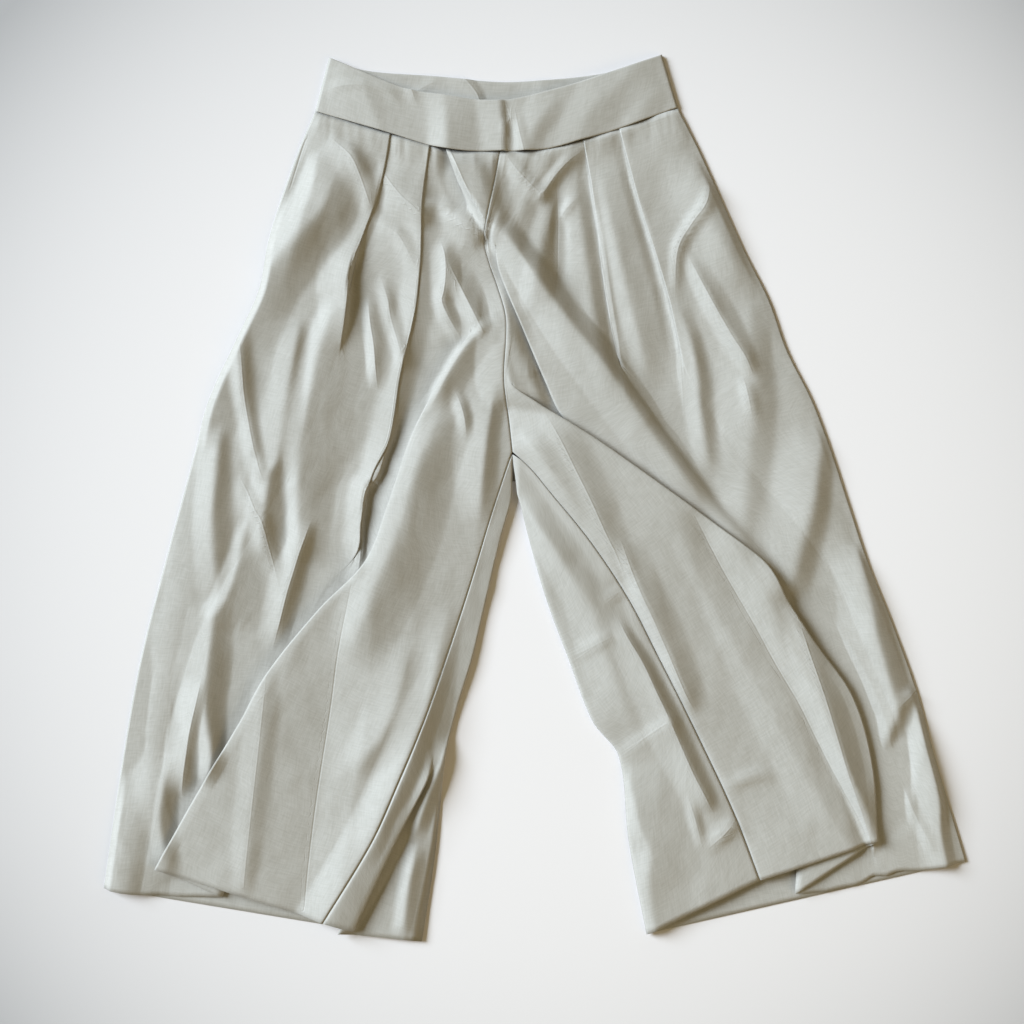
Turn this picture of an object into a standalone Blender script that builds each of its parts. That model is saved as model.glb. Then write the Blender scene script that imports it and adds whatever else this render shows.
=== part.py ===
"""Wide pleated culottes laid flat on their back, front side up, the waist towards +Y.

Each panel is one wall of cloth. A panel has named lines that run from the waist seam to the hem: its side
seam, the edges of its pleats and folds, and its centre seam or inseam. A row of the panel joins the points
of all its lines at the same share of their length, and a smooth curve through them is the cloth's section,
which turns back under itself at each fold.

The tables are drawn in millimetres for the base size: "across" from the centre front, + to the right, and
"down" from the waist seam at the centre front. GRADE brings them to this size. Heights are real
millimetres above the surface that the garment lies on.
"""

import math

import bpy
import bmesh
from mathutils import Vector

GRADE = 0.96
MM = 0.001

CLOTH = 1.2
BAND = 2.0
SEAM_GAP = 0.3
PLAN_GAP = 0.6 / GRADE

FLOOR_Z = CLOTH / 2
SIDE_Z = FLOOR_Z + CLOTH + SEAM_GAP
BASE_Z = SIDE_Z + 0.6
PLEAT_RISE = 6.0
BELLY = 3.5
REACH = 6.0
LAYER = 3.4
COVER = 2.0
LEG_TURN = 5.0

# Rows of a front panel: those above the crotch, and those below it
RISE_ROWS = 10
LEG_ROWS = 15
CROTCH_SHARE = 0.4
BAND_COLUMNS = 24
BAND_ROWS = 3

CLOTH_COLOUR = (0.49, 0.49, 0.455, 1.0)
CLOTH_ROUGHNESS = 0.72

# Waist: across, down
FRONT_BAND_TOP = (
    (-171, -93), (-100, -63), (-60, -55), (0, -49), (60, -62), (120, -81), (162, -96),
)
FRONT_BAND_SEAM = (
    (-185, -39), (-109, -16), (-53, 0), (0, 2), (45, 0), (83, -10), (119, -21), (178, -43),
)
BACK_BAND_TOP = (
    (-171, -93), (-138, -81), (-70, -75), (0, -69), (60, -72), (110, -79), (162, -96),
)
BACK_BAND_SEAM = (
    (-185, -39), (-90, -22), (0, -15), (90, -22), (178, -43),
)
FRONT_BAND_CROWN = 5.5

# Seams: down, across
SIDE_LEFT = (
    (-39, -185), (-10, -198), (45, -218), (90, -232), (140, -242), (180, -260), (250, -292),
    (300, -305), (400, -332), (510, -360), (610, -378), (739, -397),
)
SIDE_RIGHT = (
    (-43, 178), (0, 200), (100, 245), (150, 270), (200, 288), (250, 313), (300, 332), (355, 350),
    (415, 370), (470, 392), (542, 418), (605, 435), (712, 467),
)
# The folds of the legs' inner outlines: down, across
INNER_LEFT = (
    (331, 13), (350, 11), (390, 0), (450, -14), (510, -28), (559, -43), (605, -54), (708, -64),
    (792, -76),
)
INNER_RIGHT = (
    (331, 13), (350, 19), (395, 30), (450, 46), (509, 68), (573, 93), (605, 118), (690, 128),
    (785, 146),
)
# Seams that rise over the cloth below them: down, across, height
CENTRE_FRONT = (
    (2, 0, 6.5), (25, -4, 7.5), (65, -12, 9.0), (90, -16, 7.0), (112, -11, 4.2), (135, -3, 3.6),
    (170, 6, 3.6), (230, 4, 5.0), (270, 9, 7.0), (302, 12.5, 9.0),
)
INSEAM_LEFT = (
    (302, 12.5, 9.0), (330, 3, 8.5), (370, -10, 8.0), (430, -28, 8.0), (510, -54, 8.0),
    (570, -75, 8.5), (630, -100, 9.0), (690, -127, 9.5), (771, -176, 9.5),
)
INSEAM_RIGHT = (
    (302, 12.5, 9.0), (318, 30, 8.8), (342, 50, 8.5), (391, 90, 8.0), (448, 128, 8.0),
    (510, 160, 8.0), (590, 200, 8.0), (665, 235, 8.0), (730, 260, 8.0),
)
# Knife pleats: down, across at the pleat's edge, depth of cloth under it (below 0 the pleat lies open)
PLEAT_ONE = (
    (-16, -109, 24), (40, -120, 20), (90, -138, 18), (140, -150, 14), (180, -156, 6),
    (215, -163, -8), (300, -195, -14), (500, -305, -14), (745, -357, -12),
)
PLEAT_TWO = (
    (-5, -70, 22), (50, -77, 18), (110, -79, 18), (165, -85, 22), (225, -99, 24), (290, -110, 26),
    (325, -127, 20), (370, -138, 12), (405, -144, 0), (455, -192, -14), (600, -265, -14),
    (747, -318, -12),
)
PLEAT_THREE = (
    (-10, 83, 22), (40, 92, 18), (135, 104, 18), (190, 114, 12), (215, 122, 0), (240, 147, -8),
    (300, 194, -8), (413, 290, -8), (490, 331, -8), (600, 374, -8), (726, 384, -8),
)
PLEAT_FOUR = (
    (-21, 119, 22), (20, 130, 22), (60, 141, 20), (103, 155, 18), (150, 169, 16), (190, 178, 8),
    (225, 188, -4), (300, 232, -8), (413, 322, -8), (490, 358, -8), (600, 400, -8), (721, 418, -8),
)
# Loose folds: down, across at the edge, depth, height of the edge
LEFT_FLAP = (
    (1, -54, 10, 9.0), (25, -45, 12, 9.5), (52, -33, 8, 9.5), (85, -26, -8, 7.5), (130, -28, -14, 3.2),
    (172, -24, -6, 7.0), (205, -45, 14, 10.0), (250, -71, 24, 11.0), (290, -90, 32, 12.5),
    (355, -112, 38, 13.0), (412, -135, 42, 14.0), (458, -180, 46, 14.0), (522, -232, 50, 13.5),
    (572, -260, 54, 13.0), (651, -307, 60, 12.5), (718, -344, 66, 11.5),
)
RIGHT_FLAP = (
    (1, 14, -8, 6.5), (60, -6, -2, 8.5), (90, -12, -1, 6.5), (112, -8, -1, 4.2), (135, 4, -6, 3.8),
    (180, 14, -8, 3.8),
    (232, 10, -3, 5.5), (253, 37, 16, 11.0), (267, 60, 28, 14.5), (290, 97, 42, 16.5),
    (320, 140, 52, 17.0), (350, 182, 54, 16.5), (378, 220, 56, 15.5), (413, 265, 58, 15.0),
    (450, 287, 60, 15.0), (490, 313, 62, 14.5), (545, 352, 68, 14.5), (612, 372, 74, 14.0),
    (690, 377, 82, 12.0),
)
CROSS_FOLD = (
    (1, 40, -8, 7.0), (60, 12, -6, 9.2), (90, -2, -4, 9.8), (112, -3, 7, 10.0), (135, 4, 14, 10.0),
    (180, 23, 24, 10.0), (232, 45, 30, 9.5), (267, 62, 30, 9.0), (300, 95, 26, 8.5),
    (340, 145, 16, 8.0), (378, 196, 2, 6.0), (413, 240, -8, 4.0), (490, 283, -8, 3.0),
    (600, 322, -8, 3.0), (742, 325, -8, 3.0),
)
# The ridge along the top of the cross fold: down, across, height
CROSS_RIDGE = (
    (0, 60, 7.0), (60, 24, 10.0), (90, 17, 12.0), (135, 41, 13.0), (180, 72, 13.0), (232, 117, 12.5),
    (300, 168, 12.0), (367, 220, 11.0), (413, 262, 8.0), (490, 304, 4.0), (600, 345, 3.4),
    (736, 350, 3.2),
)
VALLEY_WIDTH = 10
# How much lower the root of a flap ends at the hem than its edge
LEFT_ROOT_DROP = 29
RIGHT_ROOT_DROP = 54
# Soft crowns of the cloth between two lines: share of the way, share of BELLY or height
SIDE_CROWN = ((0.3, 0.8), (0.7, 1.1))
FLAP_CROWN = ((0.3, 0.8), (0.6, 1.2), (0.85, 0.6))
# The left inseam strip, folded over the cloth beside it: share of the row, depth, height
STRIP_FOLD = ((0.0, -8, 0.0), (0.66, -8, 0.0), (0.74, -2, 4.0), (0.80, 6, 5.0), (1.0, 17, 6.0))
STRIP_EDGE = (
    (302, 12.5), (370, -2), (510, -38), (588, -54), (628, -71), (697, -106), (781, -145),
)

# The crotch point on the front, and the notch below it where the centre back seam turns under
CROTCH_DOWN = 302
BACK_CROTCH_DOWN = CROTCH_DOWN + 2.5
NOTCH_DOWN = 331
NOTCH_ACROSS = 13
# Shares of a back panel's rows at the notch and at the start of the inseam, and its rows above that
NOTCH_SHARE = 0.475
INSEAM_SHARE = 0.53
INSEAM_TURN_DOWN = 345
# Where the cloth between a leg's inner fold and its inseam is read, and its soft crown
BACK_STEPS = (0.0, 0.1, 0.22, 0.35, 0.5, 0.65, 0.8, 0.92)
STRIP_STEPS = (0.12, 0.2, 0.3, 0.4, 0.5, 0.62, 0.75)
WRAP_CROWN = 1.2
SEAT_END = 8
STRIP_MIN = 30
SEAT_SHARES = (0.0, 0.08, 0.16, 0.24, 0.32, 0.39, 0.44, NOTCH_SHARE)


def along(table, place):
    """Reads a table smoothly at a place in its first column."""
    place = min(max(place, table[0][0]), table[-1][0])
    last = len(table) - 1
    row = 0
    while row < last - 1 and table[row + 1][0] < place:
        row += 1

    def slope(index, column):
        low, high = max(index - 1, 0), min(index + 1, last)
        return (table[high][column] - table[low][column]) / (table[high][0] - table[low][0])

    start, end = table[row], table[row + 1]
    length = end[0] - start[0]
    t = (place - start[0]) / length
    values = []
    for column in range(1, len(start)):
        value = (2 * t**3 - 3 * t**2 + 1) * start[column] + (3 * t**2 - 2 * t**3) * end[column]
        value += (t**3 - 2 * t**2 + t) * length * slope(row, column)
        value += (t**3 - t**2) * length * slope(row + 1, column)
        values.append(value)
    return values


def smooth(low, high, value):
    t = min(max((value - low) / (high - low), 0.0), 1.0)
    return t * t * (3 - 2 * t)


def mix(a, b, t):
    return a + (b - a) * t


def lay(across, down, height):
    """A point of the lay in metres."""
    return Vector((across * GRADE * MM, -down * GRADE * MM, height * MM))


def line_at(table, share):
    """A line's point at a share of its length: how far down, then the table's other values."""
    down = mix(table[0][0], table[-1][0], share)
    return [down] + along(table, down)


def front_seam_at(inseam, share):
    """The centre front seam above the crotch, then the leg's inseam: down, across, height."""
    if share < CROTCH_SHARE:
        down = mix(CENTRE_FRONT[0][0] + PLAN_GAP / 2, CROTCH_DOWN, share / CROTCH_SHARE)
        return [down] + along(CENTRE_FRONT, down)
    down = mix(CROTCH_DOWN, inseam[-1][0], (share - CROTCH_SHARE) / (1 - CROTCH_SHARE))
    return [down] + along(inseam, down)


def turn_back(first, second, side=1, before=REACH, after=REACH):
    """Control points of cloth that runs to first, turns back to second and runs on.

    first and second are (across, down, height). before and after are the lengths of level cloth on the
    way in and out. The last value of a control point says whether the section is read once more
    between it and the next, which rounds the turn.
    """
    drop = first[2] - second[2]
    layer = math.copysign(min(abs(drop) * 0.45, LAYER), drop)
    middles = (first[2] - layer, second[2] + layer)
    halfway = ((first[0] + second[0]) / 2, (first[1] + second[1]) / 2, sum(middles) / 2, 0)
    return [
        (first[0] - before * side, first[1], first[2], 0),
        (first[0], first[1], first[2], 1),
        (first[0], first[1], middles[0], 0),
        halfway,
        (second[0], second[1], middles[1], 1),
        (second[0], second[1], second[2], 0),
        (second[0] + after * side, second[1], second[2], 0),
    ]


def between(a, b, t, height):
    return (mix(a[0], b[0], t), mix(a[1], b[1], t), height, 0)


def cover(edge, root, side):
    """The top layer beside a fold's edge, at full height before it passes over the fold's root."""
    reach = max((root[0] - edge[0]) * side, REACH) + COVER
    return (edge[0] + reach * side, edge[1], edge[2] - 0.3, 0)


def pleat_height(depth):
    return BASE_Z + PLEAT_RISE * smooth(-10, 0, depth)


def section(controls, band_seam=None):
    """Reads the smooth curve that follows the control points; a band_seam is where the row is sewn on."""
    count = len(controls)

    def control(index):
        if index < 0:
            return [2 * a - b for a, b in zip(controls[0][:3], controls[1][:3])]
        if index >= count:
            return [2 * a - b for a, b in zip(controls[-1][:3], controls[-2][:3])]
        return controls[index][:3]

    places = []
    for index, (*_, twice) in enumerate(controls):
        places.append((index, 0.0))
        if twice:
            places.append((index, 0.5))
    points = []
    for index, f in places:
        weights = ((1 - f) ** 3, 3 * f**3 - 6 * f**2 + 4, -3 * f**3 + 3 * f**2 + 3 * f + 1, f**3)
        near = [control(index + step) for step in (-1, 0, 1, 2)]
        across, down, height = (sum(w * p[axis] for w, p in zip(weights, near)) / 6 for axis in range(3))
        if band_seam:
            down = along(band_seam, across)[0] + PLAN_GAP / 2
        points.append(lay(across, down, height))
    return points


def front_left_row(share):
    side_down, side = line_at(SIDE_LEFT, share)
    one_down, one, one_depth = line_at(PLEAT_ONE, share)
    two_down, two, two_depth = line_at(PLEAT_TWO, share)
    flap_down, flap, flap_depth, flap_z = line_at(LEFT_FLAP, share)
    seam_down, seam, seam_z = front_seam_at(INSEAM_LEFT, share)
    root_down = flap_down + LEFT_ROOT_DROP * smooth(0.8, 1.0, share)
    side_point = (side, side_down)
    one_edge = (one, one_down, pleat_height(one_depth))
    one_root = (one - one_depth, one_down, BASE_Z)
    two_edge = (two, two_down, pleat_height(two_depth))
    two_root = (two - two_depth, two_down, BASE_Z)
    flap_root = (flap + flap_depth, root_down, BASE_Z)
    flap_edge = (flap, flap_down, flap_z)
    seam_point = (seam - PLAN_GAP / 2, seam_down)
    controls = [(side, side_down, SIDE_Z, 0), (side + 3, side_down, SIDE_Z + 0.2, 0)]
    one_cover = cover(one_edge, one_root, -1)
    controls += [between(side_point, one_cover, t, BASE_Z + BELLY * h) for t, h in SIDE_CROWN]
    controls += [one_cover]
    controls += turn_back(one_edge, one_root)
    controls += [(max(one, one - one_depth + REACH) + COVER, one_down, BASE_Z + 0.4, 0)]
    controls += [cover(two_edge, two_root, -1)]
    controls += turn_back(two_edge, two_root)
    controls += [between(two_root, flap_root, 0.5, BASE_Z)]
    controls += turn_back(flap_root, flap_edge, after=min(REACH, (seam_point[0] - flap) / 4))
    controls += [between(flap_edge, seam_point, t, mix(flap_z, seam_z, t) + h) for t, h in FLAP_CROWN]
    controls += [(seam_point[0], seam_down, seam_z, 0)]
    return section(controls, FRONT_BAND_SEAM if share == 0 else None)


def wall(name, rows, thickness, material):
    """Makes one closed wall of cloth from rows of points on its middle surface."""
    count, width = len(rows), len(rows[0])

    def direction(points, index):
        forward = (points[index + 1] - points[index]).normalized() if index + 1 < len(points) else None
        backward = (points[index] - points[index - 1]).normalized() if index else None
        if forward is None or backward is None:
            return (forward or backward), 1.0
        both = (forward + backward).normalized()
        return both, both.dot(forward)

    faces_up, faces_down = [], []
    for i, row in enumerate(rows):
        for j, point in enumerate(row):
            column = [rows[k][j] for k in range(max(i - 1, 0), min(i + 2, count))]
            across, bend = direction(row, j)
            down = direction(column, 1)[0] if i else Vector((0.0, -1.0, 0.0))
            normal = down.cross(across).normalized()
            if j in (0, width - 1):
                normal = Vector((0.0, 0.0, math.copysign(1.0, normal.z)))
            offset = normal * (thickness * MM / 2 / max(bend, 0.77))
            faces_up.append(point + offset)
            faces_down.append(point - offset)
    vertices = faces_up + faces_down
    under = count * width
    faces = []
    for i in range(count - 1):
        for j in range(width - 1):
            a, b, c, d = i * width + j, i * width + j + 1, (i + 1) * width + j + 1, (i + 1) * width + j
            faces.append((a, d, c, b))
            faces.append((a + under, b + under, c + under, d + under))
    rim = [j for j in range(width)]
    rim += [i * width + width - 1 for i in range(1, count)]
    rim += [(count - 1) * width + j for j in range(width - 2, -1, -1)]
    rim += [i * width for i in range(count - 2, 0, -1)]
    for a, b in zip(rim, rim[1:] + rim[:1]):
        faces.append((a, b, b + under, a + under))
    mesh = bpy.data.meshes.new(name)
    mesh.from_pydata(vertices, [], faces)
    solid = bmesh.new()
    solid.from_mesh(mesh)
    bmesh.ops.recalc_face_normals(solid, faces=solid.faces)
    bmesh.ops.triangulate(solid, faces=solid.faces)
    solid.to_mesh(mesh)
    solid.free()
    mesh.shade_smooth()
    mesh.set_sharp_from_angle(angle=math.radians(50))
    mesh.materials.append(material)
    panel = bpy.data.objects.new(name, mesh)
    bpy.context.scene.collection.objects.link(panel)
    return panel


def front_right_row(share):
    seam_down, seam, seam_z = front_seam_at(INSEAM_RIGHT, share)
    flap_down, flap, flap_depth, flap_z = line_at(RIGHT_FLAP, share)
    cross_down, cross, cross_depth, cross_z = line_at(CROSS_FOLD, share)
    ridge_down, ridge, ridge_z = line_at(CROSS_RIDGE, share)
    three_down, three, three_depth = line_at(PLEAT_THREE, share)
    four_down, four, four_depth = line_at(PLEAT_FOUR, share)
    side_down, side = line_at(SIDE_RIGHT, share)
    root_down = flap_down + RIGHT_ROOT_DROP * smooth(0.8, 1.0, share)
    seam_point = (seam + PLAN_GAP / 2, seam_down)
    flap_edge = (flap, flap_down, flap_z)
    flap_root = (flap - flap_depth, root_down, BASE_Z + 0.4)
    cross_root = (cross + cross_depth, cross_down, BASE_Z + 0.4)
    cross_edge = (cross, cross_down, cross_z)
    three_root = (three + three_depth, three_down, BASE_Z)
    three_edge = (three, three_down, pleat_height(three_depth))
    four_root = (four + four_depth, four_down, BASE_Z)
    four_edge = (four, four_down, pleat_height(four_depth))
    side_point = (side, side_down)
    controls = [(seam_point[0], seam_down, seam_z, 0)]
    controls += [between(flap_edge, seam_point, t, mix(flap_z, seam_z, t) + h) for t, h in reversed(FLAP_CROWN)]
    room = min(REACH, (cross_root[0] - flap_root[0]) * 0.4)
    controls += turn_back(flap_edge, flap_root, before=min(REACH, (flap - seam_point[0]) / 4), after=room)
    controls += turn_back(cross_root, cross_edge, before=room)
    controls += [(ridge, ridge_down, ridge_z, 0), (ridge + VALLEY_WIDTH, ridge_down, BASE_Z + 0.6, 0)]
    three_cover = cover(three_edge, three_root, 1)
    four_cover = cover(four_edge, four_root, 1)
    controls += turn_back(three_root, three_edge)
    controls += [three_cover, (mix(three_cover[0], four_root[0] - REACH, 0.5), four_down, BASE_Z + 0.2, 0)]
    controls += turn_back(four_root, four_edge)
    controls += [four_cover]
    controls += [between(side_point, four_cover, t, BASE_Z + BELLY * h) for t, h in reversed(SIDE_CROWN)]
    controls += [(side - 3, side_down, SIDE_Z + 0.2, 0), (side, side_down, SIDE_Z, 0)]
    return section(controls, FRONT_BAND_SEAM if share == 0 else None)


def back_row(share, side_table, inner_table, inseam_table, hand, strip):
    """One row of a back panel: flat to the leg's inner fold, then over it to the inseam.

    hand is 1 for the left panel and -1 for the right one. Above the notch the row stays flat and ends
    at the centre back seam.
    """
    side_down, side = line_at(side_table, share)
    below = (share - INSEAM_SHARE) / (1.0 - INSEAM_SHARE)
    gap = hand * PLAN_GAP / 2
    if below < 0:
        down = mix(BACK_BAND_SEAM[2][1], NOTCH_DOWN, share / NOTCH_SHARE)
        across = mix(0, NOTCH_ACROSS, smooth(0.0, NOTCH_SHARE, share)) - gap
        end = (across, down, FLOOR_Z)
        turn, turn_down, turn_z, start = across - SEAT_END * hand, down, FLOOR_Z, 0.8 * hand
    else:
        down = mix(BACK_CROTCH_DOWN, inseam_table[-1][0], below)
        across, height = along(inseam_table, down if below else CROTCH_DOWN)
        end = (across + (gap if below else -gap), down, height)
        turn_down = mix(INSEAM_TURN_DOWN, inner_table[-1][0], below)
        turn, turn_z, start = along(inner_table, turn_down)[0], FLOOR_Z + LEG_TURN, 0.0
    controls = [between((side, side_down), (turn, turn_down), t, FLOOR_Z) for t in BACK_STEPS]
    controls += [(turn, turn_down, FLOOR_Z, 1), (turn + start, turn_down, turn_z, 0)]
    over = [between((turn, turn_down), end, t, mix(turn_z, end[2], t)) for t in STRIP_STEPS]
    if not strip:
        crown = WRAP_CROWN if below >= 0 else 0.0
        steps = zip(over[::2], STRIP_STEPS[::2])
        controls += [(*point[:2], point[2] + crown * math.sin(t * math.pi), 0) for point, t in steps]
    elif below > 0 and abs(turn - end[0]) > STRIP_MIN:
        depth, lift = along(STRIP_FOLD, share)
        middle = mix(turn, end[0], 0.45)
        edge = mix(middle, along(STRIP_EDGE, end[1] + 12)[0], smooth(0.68, 0.80, share))
        root = edge - (depth if depth > 0 else -REACH) * hand
        low = (root, mix(turn_down, end[1], 0.4), mix(turn_z, end[2], 0.3) - lift * 0.4)
        high = (edge, mix(turn_down, end[1], 0.6), mix(turn_z, end[2], 0.7) + lift * 0.6)
        controls += turn_back(low, high, -hand)
    else:
        controls += [point[:3] + folded[3:] for point, folded in zip(over, turn_back(end, end))]
    controls += [end + (0,)]
    return section(controls, BACK_BAND_SEAM if share == 0 else None)


def band_rows(top_table, seam_table, height):
    rows = []
    for step in range(BAND_ROWS + 1):
        t = step / BAND_ROWS
        row = []
        for column in range(BAND_COLUMNS + 1):
            share = column / BAND_COLUMNS
            top = mix(top_table[0][0], top_table[-1][0], share)
            seam = mix(seam_table[0][0], seam_table[-1][0], share)
            across = mix(top, seam, t)
            down = mix(along(top_table, top)[0], along(seam_table, seam)[0] - PLAN_GAP / 2, t)
            row.append(lay(across, down, height(share)))
        rows.append(row)
    return rows


def front_band_height(share):
    return BAND * 1.5 + SEAM_GAP + FRONT_BAND_CROWN * math.sin(math.pi * share) ** 0.8


def back_band_height(_):
    return BAND / 2


def cloth_material(name):
    material = bpy.data.materials.new(name)
    material.use_nodes = True
    shader = material.node_tree.nodes["Principled BSDF"]
    shader.inputs["Base Color"].default_value = CLOTH_COLOUR
    shader.inputs["Roughness"].default_value = CLOTH_ROUGHNESS
    shader.inputs["Metallic"].default_value = 0.0
    return material


def centre_on_origin(panels):
    corners = [vertex.co for panel in panels for vertex in panel.data.vertices]
    middle_x = (min(c.x for c in corners) + max(c.x for c in corners)) / 2
    middle_y = (min(c.y for c in corners) + max(c.y for c in corners)) / 2
    for panel in panels:
        for vertex in panel.data.vertices:
            vertex.co.x -= middle_x
            vertex.co.y -= middle_y


def main():
    for leftover in list(bpy.data.objects):
        bpy.data.objects.remove(leftover)
    shares = [CROTCH_SHARE * row / RISE_ROWS for row in range(RISE_ROWS)]
    shares += [mix(CROTCH_SHARE, 1.0, row / LEG_ROWS) for row in range(LEG_ROWS + 1)]
    back_shares = list(SEAT_SHARES) + [mix(INSEAM_SHARE, 1.0, row / LEG_ROWS) for row in range(LEG_ROWS + 1)]
    panels = [
        wall("front_left", [front_left_row(s) for s in shares], CLOTH, cloth_material("front_left_cloth")),
        wall("front_right", [front_right_row(s) for s in shares], CLOTH, cloth_material("front_right_cloth")),
        wall(
            "back_left",
            [back_row(s, SIDE_LEFT, INNER_LEFT, INSEAM_LEFT, 1, True) for s in back_shares],
            CLOTH,
            cloth_material("back_left_cloth"),
        ),
        wall(
            "back_right",
            [back_row(s, SIDE_RIGHT, INNER_RIGHT, INSEAM_RIGHT, -1, False) for s in back_shares],
            CLOTH,
            cloth_material("back_right_cloth"),
        ),
        wall(
            "waistband_front",
            band_rows(FRONT_BAND_TOP, FRONT_BAND_SEAM, front_band_height),
            BAND,
            cloth_material("waistband_front_cloth"),
        ),
        wall(
            "waistband_back",
            band_rows(BACK_BAND_TOP, BACK_BAND_SEAM, back_band_height),
            BAND,
            cloth_material("waistband_back_cloth"),
        ),
    ]
    centre_on_origin(panels)


main()
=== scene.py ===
"""Wide pleated culottes laid flat on their back, front side up: the cloth, its creases and its finish.

Each panel is a thin shell of cloth on the form of its solid. Its rows run from the waist seam to the hem.
A row is the cloth's section, which turns back under itself at each pleat and fold. Creases are soft ridges
and troughs along their own lines, and they lift all the layers that lie under them together.

The tables are in millimetres for the base size: "across" from the centre front, + to the right, and "down"
from the waist seam at the centre front. GRADE brings them to this size. Heights are real millimetres.
"""

import math

import bpy
import numpy as np
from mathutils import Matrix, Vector


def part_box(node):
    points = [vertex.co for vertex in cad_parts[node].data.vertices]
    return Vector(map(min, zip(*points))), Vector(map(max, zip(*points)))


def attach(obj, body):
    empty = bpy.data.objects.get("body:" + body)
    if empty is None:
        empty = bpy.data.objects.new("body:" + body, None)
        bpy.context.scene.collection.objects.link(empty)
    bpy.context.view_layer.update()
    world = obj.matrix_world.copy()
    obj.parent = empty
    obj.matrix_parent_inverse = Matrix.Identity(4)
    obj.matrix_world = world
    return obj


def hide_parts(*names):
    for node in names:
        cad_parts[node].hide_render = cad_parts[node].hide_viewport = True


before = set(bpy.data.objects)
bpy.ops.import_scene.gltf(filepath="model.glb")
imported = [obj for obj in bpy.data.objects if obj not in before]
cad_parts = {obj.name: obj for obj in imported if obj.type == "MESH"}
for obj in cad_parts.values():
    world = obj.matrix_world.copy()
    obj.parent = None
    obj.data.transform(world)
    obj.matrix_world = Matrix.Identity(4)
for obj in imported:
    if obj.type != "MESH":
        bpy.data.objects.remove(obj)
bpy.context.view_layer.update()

GRADE = 0.96
MM = 0.001

# The solids' own heights and turns: how high the cloth lies at the side seams and inside them, how far a
# pleat and the cloth's belly rise, and how far cloth runs level beside a turn
CLOTH_SOLID = 1.2
BAND_SOLID = 2.0
SEAM_GAP = 0.3
FLOOR_Z = CLOTH_SOLID / 2
SIDE_Z = FLOOR_Z + CLOTH_SOLID + SEAM_GAP
BASE_Z = SIDE_Z + 0.6
FOLD_ROOT_Z = BASE_Z + 0.4
VALLEY_Z = BASE_Z + 0.6
SIDE_INSET = 3
SIDE_INSET_Z = SIDE_Z + 0.2
PLEAT_RISE = 1.6
BELLY = 2.6
REACH = 2.2
LAYER = 3.4
LAYER_SHARE = 0.45
COVER = 2.0
LEG_TURN = 5.0
# Share of a front panel's rows that lie above the crotch
CROTCH_SHARE = 0.4
# Depths of a pleat between which it closes, and of a fold between which its root goes down
PLEAT_CLOSES = (-7, 3)
ROOT_SINKS = (0, 12)

# The cloth that shows: thickness of one layer and of the band, and the gap between panels at a seam
CLOTH = 0.7
BAND = 1.7
PLAN_GAP = 0.3
# Sizes of the shells' mesh, in millimetres
STEP = 3.1
ROW_STEP = 4.5
FLAT_STEP = 9.0

# Waist: across, down
FRONT_BAND_TOP = (
    (-171, -93), (-100, -63), (-60, -55), (0, -49), (60, -62), (120, -81), (162, -96),
)
FRONT_BAND_SEAM = (
    (-185, -39), (-109, -16), (-53, 0), (0, 2), (45, 0), (83, -10), (119, -21), (178, -43),
)
BACK_BAND_TOP = (
    (-171, -93), (-138, -81), (-70, -75), (0, -69), (60, -72), (110, -79), (162, -96),
)
BACK_BAND_SEAM = (
    (-185, -39), (-90, -22), (0, -15), (90, -22), (178, -43),
)
FRONT_BAND_CROWN = 5.5

# Seams: down, across
SIDE_LEFT = (
    (-39, -185), (-10, -198), (45, -218), (90, -232), (140, -242), (180, -260), (250, -292),
    (300, -305), (400, -332), (510, -360), (610, -378), (739, -397),
)
SIDE_RIGHT = (
    (-43, 178), (0, 200), (100, 245), (150, 270), (200, 288), (250, 313), (300, 332), (355, 350),
    (415, 370), (470, 392), (542, 418), (605, 435), (712, 467),
)
# The folds of the legs' inner outlines: down, across
INNER_LEFT = (
    (331, 13), (350, 11), (390, 0), (450, -14), (510, -28), (559, -43), (605, -54), (708, -64),
    (792, -76),
)
INNER_RIGHT = (
    (331, 13), (350, 19), (395, 30), (450, 46), (509, 68), (573, 93), (605, 118), (690, 128),
    (785, 146),
)
# Seams that rise over the cloth below them: down, across, height
CENTRE_FRONT = (
    (2, 0, 6.5), (25, -4, 7.5), (65, -12, 9.0), (90, -16, 7.0), (112, -11, 4.2), (135, -3, 3.6),
    (170, 6, 3.6), (230, 4, 5.0), (270, 9, 7.0), (302, 12.5, 9.0),
)
INSEAM_LEFT = (
    (302, 12.5, 9.0), (330, 3, 8.5), (370, -10, 8.0), (430, -28, 8.0), (510, -54, 8.0),
    (570, -75, 8.5), (630, -100, 9.0), (690, -127, 9.5), (771, -176, 9.5),
)
INSEAM_RIGHT = (
    (302, 12.5, 9.0), (318, 30, 8.8), (342, 50, 8.5), (391, 90, 8.0), (448, 128, 8.0),
    (510, 160, 8.0), (590, 200, 8.0), (665, 235, 8.0), (730, 260, 8.0),
)
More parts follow.
